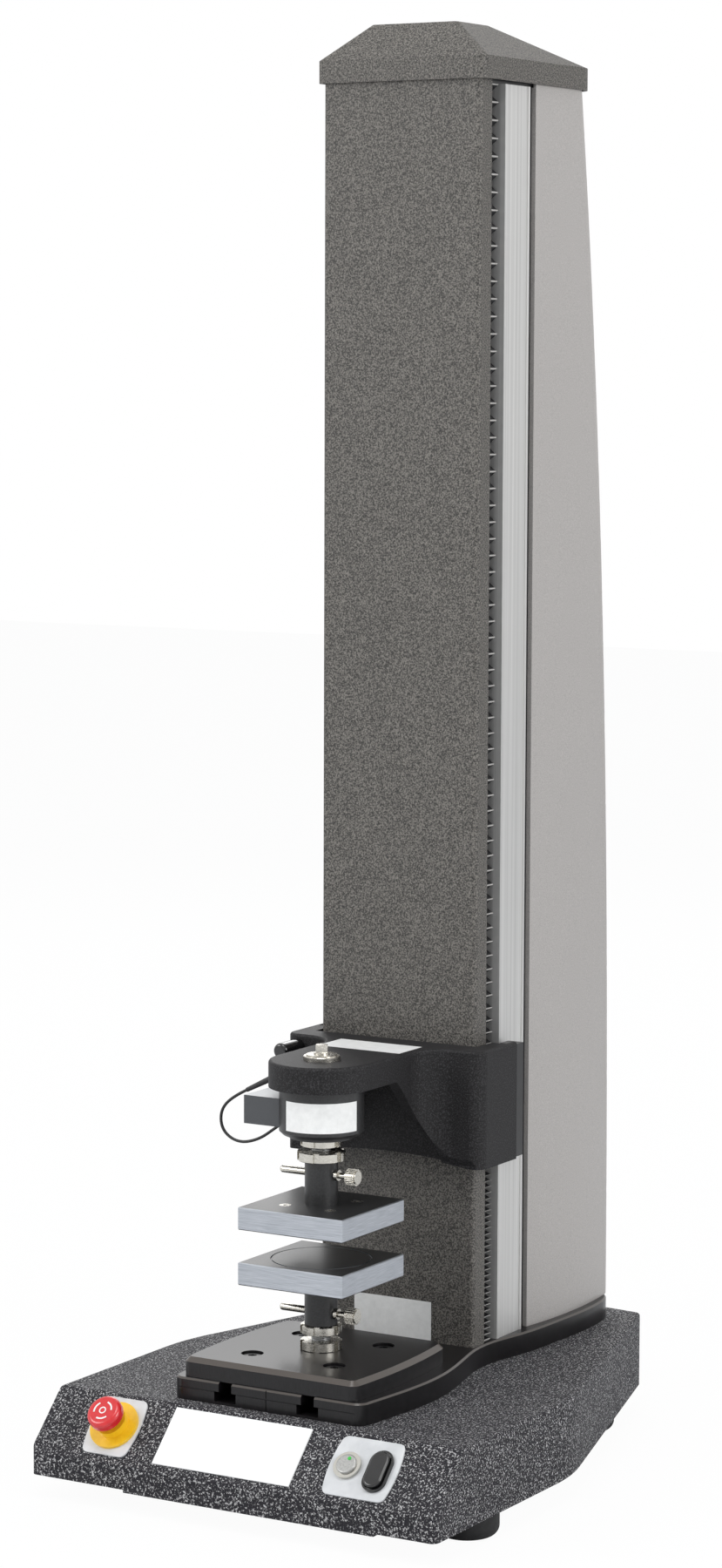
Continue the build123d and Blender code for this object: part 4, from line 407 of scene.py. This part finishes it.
# Bellows: coated cloth folded into pleats, black, with pale creases. Each strip closes a
# slot beside the cover; the upper pair hangs open and the lower pair lies folded.
cloth_parts = start_material("coated_bellows_cloth", "#161617", 0.6)
material, tree, shader, place = cloth_parts
crease = add(tree, "ShaderNodeAttribute", attribute_name="crease")
crease_start = 0.86
crease_full = 0.96
crease = add(tree, "ShaderNodeMapRange", {"Value": crease.outputs["Fac"]},
             {"From Min": crease_start, "From Max": crease_full})
cloth_tone = add(tree, "ShaderNodeMix", {"Factor": crease.outputs["Result"]},
                 {"A": lin("#0b0b0e"), "B": lin("#c9c7c3")}, data_type="RGBA")
weave = add(tree, "ShaderNodeTexNoise", {"Vector": place}, {"Scale": 1600.0, "Detail": 1.0})
relief = add(tree, "ShaderNodeBump", {"Height": weave.outputs["Fac"]}, {"Strength": 0.5, "Distance": 0.0001})
tree.links.new(cloth_tone.outputs["Result"], shader.inputs["Base Color"])
tree.links.new(relief.outputs[0], shader.inputs["Normal"])
bellows_cloth = material

pleats = bpy.data.node_groups.new("pleated_strip", "GeometryNodeTree")
pleats.interface.new_socket("Geometry", in_out="OUTPUT", socket_type="NodeSocketGeometry")
pleat_inputs = {}
for socket_name, kind, default in (
        ("Rows", "NodeSocketInt", 41), ("Width", "NodeSocketFloat", 0.014),
        ("Bottom", "NodeSocketFloat", 0.0), ("Top", "NodeSocketFloat", 1.0),
        ("Outer X", "NodeSocketFloat", 0.073), ("Depth", "NodeSocketFloat", 0.009),
        ("Middle Y", "NodeSocketFloat", 0.0), ("Bunching", "NodeSocketFloat", 1.0)):
    socket = pleats.interface.new_socket(socket_name, in_out="INPUT", socket_type=kind)
    socket.default_value = default
    pleat_inputs[socket_name] = socket.identifier
given = add(pleats, "NodeGroupInput").outputs
strip = add(pleats, "GeometryNodeMeshGrid", {"Vertices Y": given["Rows"]},
            {"Vertices X": 2, "Size X": 1.0, "Size Y": 1.0})
where = add(pleats, "ShaderNodeSeparateXYZ", {0: add(pleats, "GeometryNodeInputPosition").outputs[0]})
row = add(pleats, "ShaderNodeMath", {0: add(pleats, "GeometryNodeInputIndex").outputs[0], 1: given["Rows"]},
          operation="MODULO")
outward = add(pleats, "ShaderNodeMath", {0: row.outputs[0]}, {1: 2.0}, operation="MODULO")
inset = add(pleats, "ShaderNodeMath", {0: outward.outputs[0], 1: given["Depth"]}, operation="MULTIPLY")
reach = add(pleats, "ShaderNodeMath", {0: given["Outer X"], 1: inset.outputs[0]}, operation="SUBTRACT")
along = add(pleats, "ShaderNodeMath", {0: where.outputs["Y"]}, {1: 0.5}, operation="ADD")
bunched = add(pleats, "ShaderNodeMath", {0: along.outputs[0], 1: given["Bunching"]}, operation="POWER")
height = add(pleats, "ShaderNodeMapRange",
             {"Value": bunched.outputs[0], "To Min": given["Bottom"], "To Max": given["Top"]})
across = add(pleats, "ShaderNodeMath", {0: where.outputs["X"], 1: given["Width"], 2: given["Middle Y"]},
             operation="MULTIPLY_ADD")
place_at = add(pleats, "ShaderNodeCombineXYZ",
               {"X": reach.outputs[0], "Y": across.outputs[0], "Z": height.outputs[0]})
moved = add(pleats, "GeometryNodeSetPosition",
            {"Geometry": strip.outputs["Mesh"], "Position": place_at.outputs[0]})
crease_line = add(pleats, "ShaderNodeMath", {1: outward.outputs[0]}, {0: 1.0}, operation="SUBTRACT")
stored = add(pleats, "GeometryNodeStoreNamedAttribute",
             {"Geometry": moved.outputs[0], "Value": crease_line.outputs[0]},
             {"Name": "crease"}, data_type="FLOAT", domain="POINT")
mirrored = add(pleats, "GeometryNodeTransform", {"Geometry": stored.outputs[0]}, {"Scale": (-1, 1, 1)})
turned = add(pleats, "GeometryNodeFlipFaces", {"Mesh": mirrored.outputs[0]})
pair = add(pleats, "GeometryNodeJoinGeometry")
for half in (turned.outputs[0], stored.outputs[0]):
    pleats.links.new(half, pair.inputs[0])
real = add(pleats, "GeometryNodeRealizeInstances", {0: pair.outputs[0]})
clad = add(pleats, "GeometryNodeSetMaterial", {"Geometry": real.outputs[0]}, {"Material": bellows_cloth})
add(pleats, "NodeGroupOutput", {0: clad.outputs[0]})


def grow(name, group, values):
    """Runs a geometry tree with its inputs and returns the plain mesh that it makes."""
    carrier = bpy.data.objects.new(name + "_carrier", bpy.data.meshes.new(name + "_carrier"))
    bpy.context.scene.collection.objects.link(carrier)
    modifier = carrier.modifiers.new("grow", "NODES")
    modifier.node_group = group
    for key, value in values.items():
        modifier[key] = value
    ready = carrier.evaluated_get(bpy.context.evaluated_depsgraph_get())
    mesh = bpy.data.meshes.new_from_object(ready)
    bpy.data.objects.remove(carrier)
    mesh.name = name
    piece = bpy.data.objects.new(name, mesh)
    bpy.context.scene.collection.objects.link(piece)
    return piece


pleat_depth = 0.009
cloth_thickness = 0.0006
slot_clearance = 0.0004
for strip_name, node_name, pitch, bunching in (("upper_pleats", "upper_bellows", 0.0135, 1.12),
                                               ("lower_pleats", "lower_bellows", 0.0052, 1.0)):
    low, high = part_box(node_name)
    pleat_count = round((high[2] - low[2]) / pitch)
    strips = grow(strip_name, pleats, {
        pleat_inputs["Rows"]: 2 * pleat_count + 1, pleat_inputs["Width"]: high[1] - low[1],
        pleat_inputs["Bottom"]: low[2], pleat_inputs["Top"]: high[2],
        pleat_inputs["Outer X"]: high[0] - slot_clearance, pleat_inputs["Depth"]: pleat_depth,
        pleat_inputs["Middle Y"]: (low[1] + high[1]) / 2,
        pleat_inputs["Bunching"]: bunching})
    thick = strips.modifiers.new("cloth_thickness", "SOLIDIFY")
    thick.thickness = cloth_thickness
    thick.offset = 0.0
    ready = strips.evaluated_get(bpy.context.evaluated_depsgraph_get())
    solid_mesh = bpy.data.meshes.new_from_object(ready)
    strips.modifiers.clear()
    strips.data = solid_mesh
    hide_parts(node_name)
    if node_name == "upper_bellows":
        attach(strips, "stand")
        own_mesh(strips)
    else:
        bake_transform(strips)

# Panel plates: brushed and lacquered aluminium under the controls, and a bare white plate
# between them. All three are let into the sloped face and lie flat.
white_plate_middle = -0.010
white_plate_half = 0.0668
plate_parts = start_material("lacquered_panel_plates", "#c9cbcd", 0.3)
material, tree, shader, place = plate_parts
parts = add(tree, "ShaderNodeSeparateXYZ", {0: place})
centre = add(tree, "ShaderNodeMath", {0: parts.outputs["X"]}, {1: white_plate_middle}, operation="SUBTRACT")
centre = add(tree, "ShaderNodeMath", {0: centre.outputs[0]}, operation="ABSOLUTE")
is_white = add(tree, "ShaderNodeMath", {0: centre.outputs[0]}, {1: white_plate_half}, operation="LESS_THAN")
cloudy = add(tree, "ShaderNodeTexNoise", {"Vector": place}, {"Scale": 60.0, "Detail": 4.0})
lacquer = add(tree, "ShaderNodeValToRGB", {"Fac": cloudy.outputs["Fac"]})
lacquer.color_ramp.elements[0].position = 0.3
lacquer.color_ramp.elements[0].color = lin("#c2c4c6")
lacquer.color_ramp.elements[1].position = 0.7
lacquer.color_ramp.elements[1].color = lin("#d9dadb")
tone = add(tree, "ShaderNodeMix", {"Factor": is_white.outputs[0], "A": lacquer.outputs[0]},
           {"B": lin("#f3f3f2")}, data_type="RGBA")
tree.links.new(tone.outputs["Result"], shader.inputs["Base Color"])
dress(material, "panel_plates")

# Bare plates: plain white film, cut square and stuck on the load cell's body, on top of
# the crosshead and low on the column's cover. It is matte and hardly stands proud.
blank = grained(start_material("blank_white_film", "#f0f0ee", 0.4), "#eaeae8", "#f5f5f3", 6.0, 0.3, 0.7)
film_thickness = 0.0002
cell_film_radius = 0.03552
cell_film_bottom, cell_film_top = 0.311, 0.336
cell_film_start, cell_film_sweep = -24, 110
cell_film_steps = 24
cell_mesh = bpy.data.meshes.new("load_cell_blank")
film_verts, film_faces = [], []
for k in range(cell_film_steps + 1):
    turn = radians(cell_film_start + cell_film_sweep * k / cell_film_steps)
    for radius in (cell_film_radius, cell_film_radius + film_thickness):
        for z in (cell_film_bottom, cell_film_top):
            film_verts.append((radius * sin(turn), y_load - radius * cos(turn), z))
for k in range(cell_film_steps):
    a, b = 4 * k, 4 * k + 4
    film_faces += [(a + 2, b + 2, b + 3, a + 3), (b, a, a + 1, b + 1), (a + 1, a + 3, b + 3, b + 1),
                   (a + 2, a, b, b + 2)]
last = 4 * cell_film_steps
film_faces += [(0, 2, 3, 1), (last + 2, last, last + 1, last + 3)]
cell_mesh.from_pydata(film_verts, [], film_faces)
cell_blank = bpy.data.objects.new("load_cell_blank", cell_mesh)
bpy.context.scene.collection.objects.link(cell_blank)
cell_blank.data.materials.append(blank)
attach(cell_blank, "carriage")

film = bpy.data.node_groups.new("film_rectangle", "GeometryNodeTree")
film.interface.new_socket("Geometry", in_out="OUTPUT", socket_type="NodeSocketGeometry")
film_inputs = {}
for socket_name in ("Size", "Centre"):
    socket = film.interface.new_socket(socket_name, in_out="INPUT", socket_type="NodeSocketVector")
    film_inputs[socket_name] = socket.identifier
given = add(film, "NodeGroupInput").outputs
sheet = add(film, "GeometryNodeMeshCube", {"Size": given["Size"]})
laid = add(film, "GeometryNodeTransform",
           {"Geometry": sheet.outputs["Mesh"], "Translation": given["Centre"]})
laid = add(film, "GeometryNodeSetMaterial", {"Geometry": laid.outputs[0]}, {"Material": blank})
add(film, "NodeGroupOutput", {0: laid.outputs[0]})
for blank_name, body_name, size, centre in (
        ("crosshead_blank", "carriage", (0.080, 0.038, film_thickness), (0.001, -0.045, 0.3675)),
        ("column_blank", "stand", (0.077, film_thickness, 0.034), (-0.0037, 0.00288, 0.123))):
    sheet_piece = grow(blank_name, film, {film_inputs["Size"]: size, film_inputs["Centre"]: centre})
    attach(sheet_piece, body_name)

# Stop button: a moulded yellow collar pressed round its foot, and a moulded red head with
# white arcs and a white ring laid on its face.
yellow = grained(start_material("yellow_moulding", "#f0bf1b", 0.3, 0.0, 0.2),
                 "#ebb916", "#f4c628", 5.0, 0.3, 0.7)
dress(yellow, "estop_collar")
red = grained(start_material("red_moulding", "#cf1b22", 0.25, 0.0, 0.4),
              "#c8161d", "#d62228", 5.0, 0.3, 0.7)
dress(red, "estop_head")
panel_angle = 0.790778
panel_up = Vector((0, cos(panel_angle), sin(panel_angle)))
panel_out = Vector((0, -sin(panel_angle), cos(panel_angle)))
panel_foot = Vector((0, -0.26802, 0.0401))


def on_panel(x, up, out):
    """Point on the sloped panel: across, up the slope, and out from its face, in metres."""
    return panel_foot + Vector((x, 0, 0)) + panel_up * up + panel_out * out


def arc_band(name, centre, out, inner, outer, spans, thickness):
    """Flat arc bands round a point on the panel, with a wall thickness."""
    verts, faces = [], []
    for start, end in spans:
        steps = max(6, int((end - start) / 6))
        for level in (0.0, thickness):
            for k in range(steps + 1):
                turn = radians(start + (end - start) * k / steps)
                for radius in (inner, outer):
                    x, up = centre[0] + radius * cos(turn), centre[1] + radius * sin(turn)
                    verts.append(on_panel(x, up, out + level))
        base = len(verts) - 4 * (steps + 1)
        top = base + 2 * (steps + 1)
        for k in range(steps):
            a, b = base + 2 * k, top + 2 * k
            faces += [(b, b + 1, b + 3, b + 2), (a + 2, a + 3, a + 1, a), (a, b, b + 2, a + 2),
                      (a + 1, a + 3, b + 3, b + 1)]
        low_end, high_end = base + 2 * steps, top + 2 * steps
        faces += [(base, base + 1, top + 1, top), (high_end, high_end + 1, low_end + 1, low_end)]
    mesh = bpy.data.meshes.new(name)
    mesh.from_pydata(verts, [], faces)
    mesh.validate()
    piece = bpy.data.objects.new(name, mesh)
    bpy.context.scene.collection.objects.link(piece)
    return piece


white_fill = grained(start_material("white_filled_mark", "#ececea", 0.4),
                     "#e4e4e2", "#f2f2f0", 3.0, 0.3, 0.7)
stop_centre = (-0.1255, 0.034)
stop_face = 0.02652
mark_thickness = 0.0002
arc_spans = [(10, 80), (130, 200), (250, 320)]
arcs = arc_band("stop_head_arcs", stop_centre, stop_face, 0.0072, 0.0086, arc_spans, mark_thickness)
arcs.data.materials.append(white_fill)
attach(arcs, "stop_head")
ring = arc_band("stop_head_ring", stop_centre, stop_face, 0.0022, 0.0032, [(0, 360)], mark_thickness)
ring.data.materials.append(white_fill)
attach(ring, "stop_head")

# Push-button and rocker: a plated bezel round a satin steel button with a green lamp, and
# a glossy black bezel round a glossy black rocker.
bezel_parting = 0.116
bezel_parts = start_material("polished_bezels", "#121213", 0.16, 0.0, 0.3)
material, tree, shader, place = bezel_parts
parts = add(tree, "ShaderNodeSeparateXYZ", {0: place})
is_round = add(tree, "ShaderNodeMath", {0: parts.outputs["X"]}, {1: bezel_parting}, operation="LESS_THAN")
tone = add(tree, "ShaderNodeMix", {"Factor": is_round.outputs[0]},
           {"A": lin("#111112"), "B": lin("#c6c4bd")}, data_type="RGBA")
tree.links.new(tone.outputs["Result"], shader.inputs["Base Color"])
tree.links.new(is_round.outputs[0], shader.inputs["Metallic"])
dress(material, "button_bezels")
button_steel = grained(start_material("satin_button_steel", "#9c9c9a", 0.38, 0.8),
                       "#8f8f8d", "#aaaaa8", 1.5, 0.3, 0.7)
dress(button_steel, "push_button")
rocker_gloss = grained(start_material("glossy_rocker_moulding", "#101011", 0.14, 0.0, 0.4),
                       "#0c0c0d", "#181819", 9.0, 0.3, 0.7)
dress(rocker_gloss, "jog_rocker")
lamp_glass = grained(start_material("green_lamp_lens", "#2fae3a", 0.2, 0.0, 0.3),
                     "#2aa535", "#38bd44", 2.0, 0.3, 0.7)
lamp_centre = (0.1025, 0.0378)
button_face = 0.00582
lens = arc_band("push_button_lamp", lamp_centre, button_face, 0.0001, 0.0016, [(0, 360)], 0.0003)
lens.data.materials.append(lamp_glass)
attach(lens, "start_button")

# Insides: an enamelled motor, a control board under green mask, a power supply in mill
# finish sheet, and connectors and switch blocks moulded in black nylon.
motor_enamel = grained(start_material("motor_enamel", "#1d1f21", 0.4),
                       "#17181a", "#2a2c2e", 4.0, 0.3, 0.7, 0.03)
dress(motor_enamel, "drive_motor")
board_mask = grained(start_material("green_board_mask", "#1c4a31", 0.4),
                     "#153d27", "#24603f", 4.0, 0.35, 0.65)
dress(board_mask, "control_board")
supply_sheet = grained(start_material("mill_finish_sheet", "#9a9c9e", 0.4, 0.9),
                       "#8b8d8f", "#abadaf", 3.0, 0.3, 0.7)
dress(supply_sheet, "power_supply")
nylon = grained(start_material("black_nylon", "#191919", 0.5), "#131313", "#232323", 1.0, 0.3, 0.7, 0.02)
dress(nylon, "rear_connectors", "mains_switch", "panel_switch_blocks")
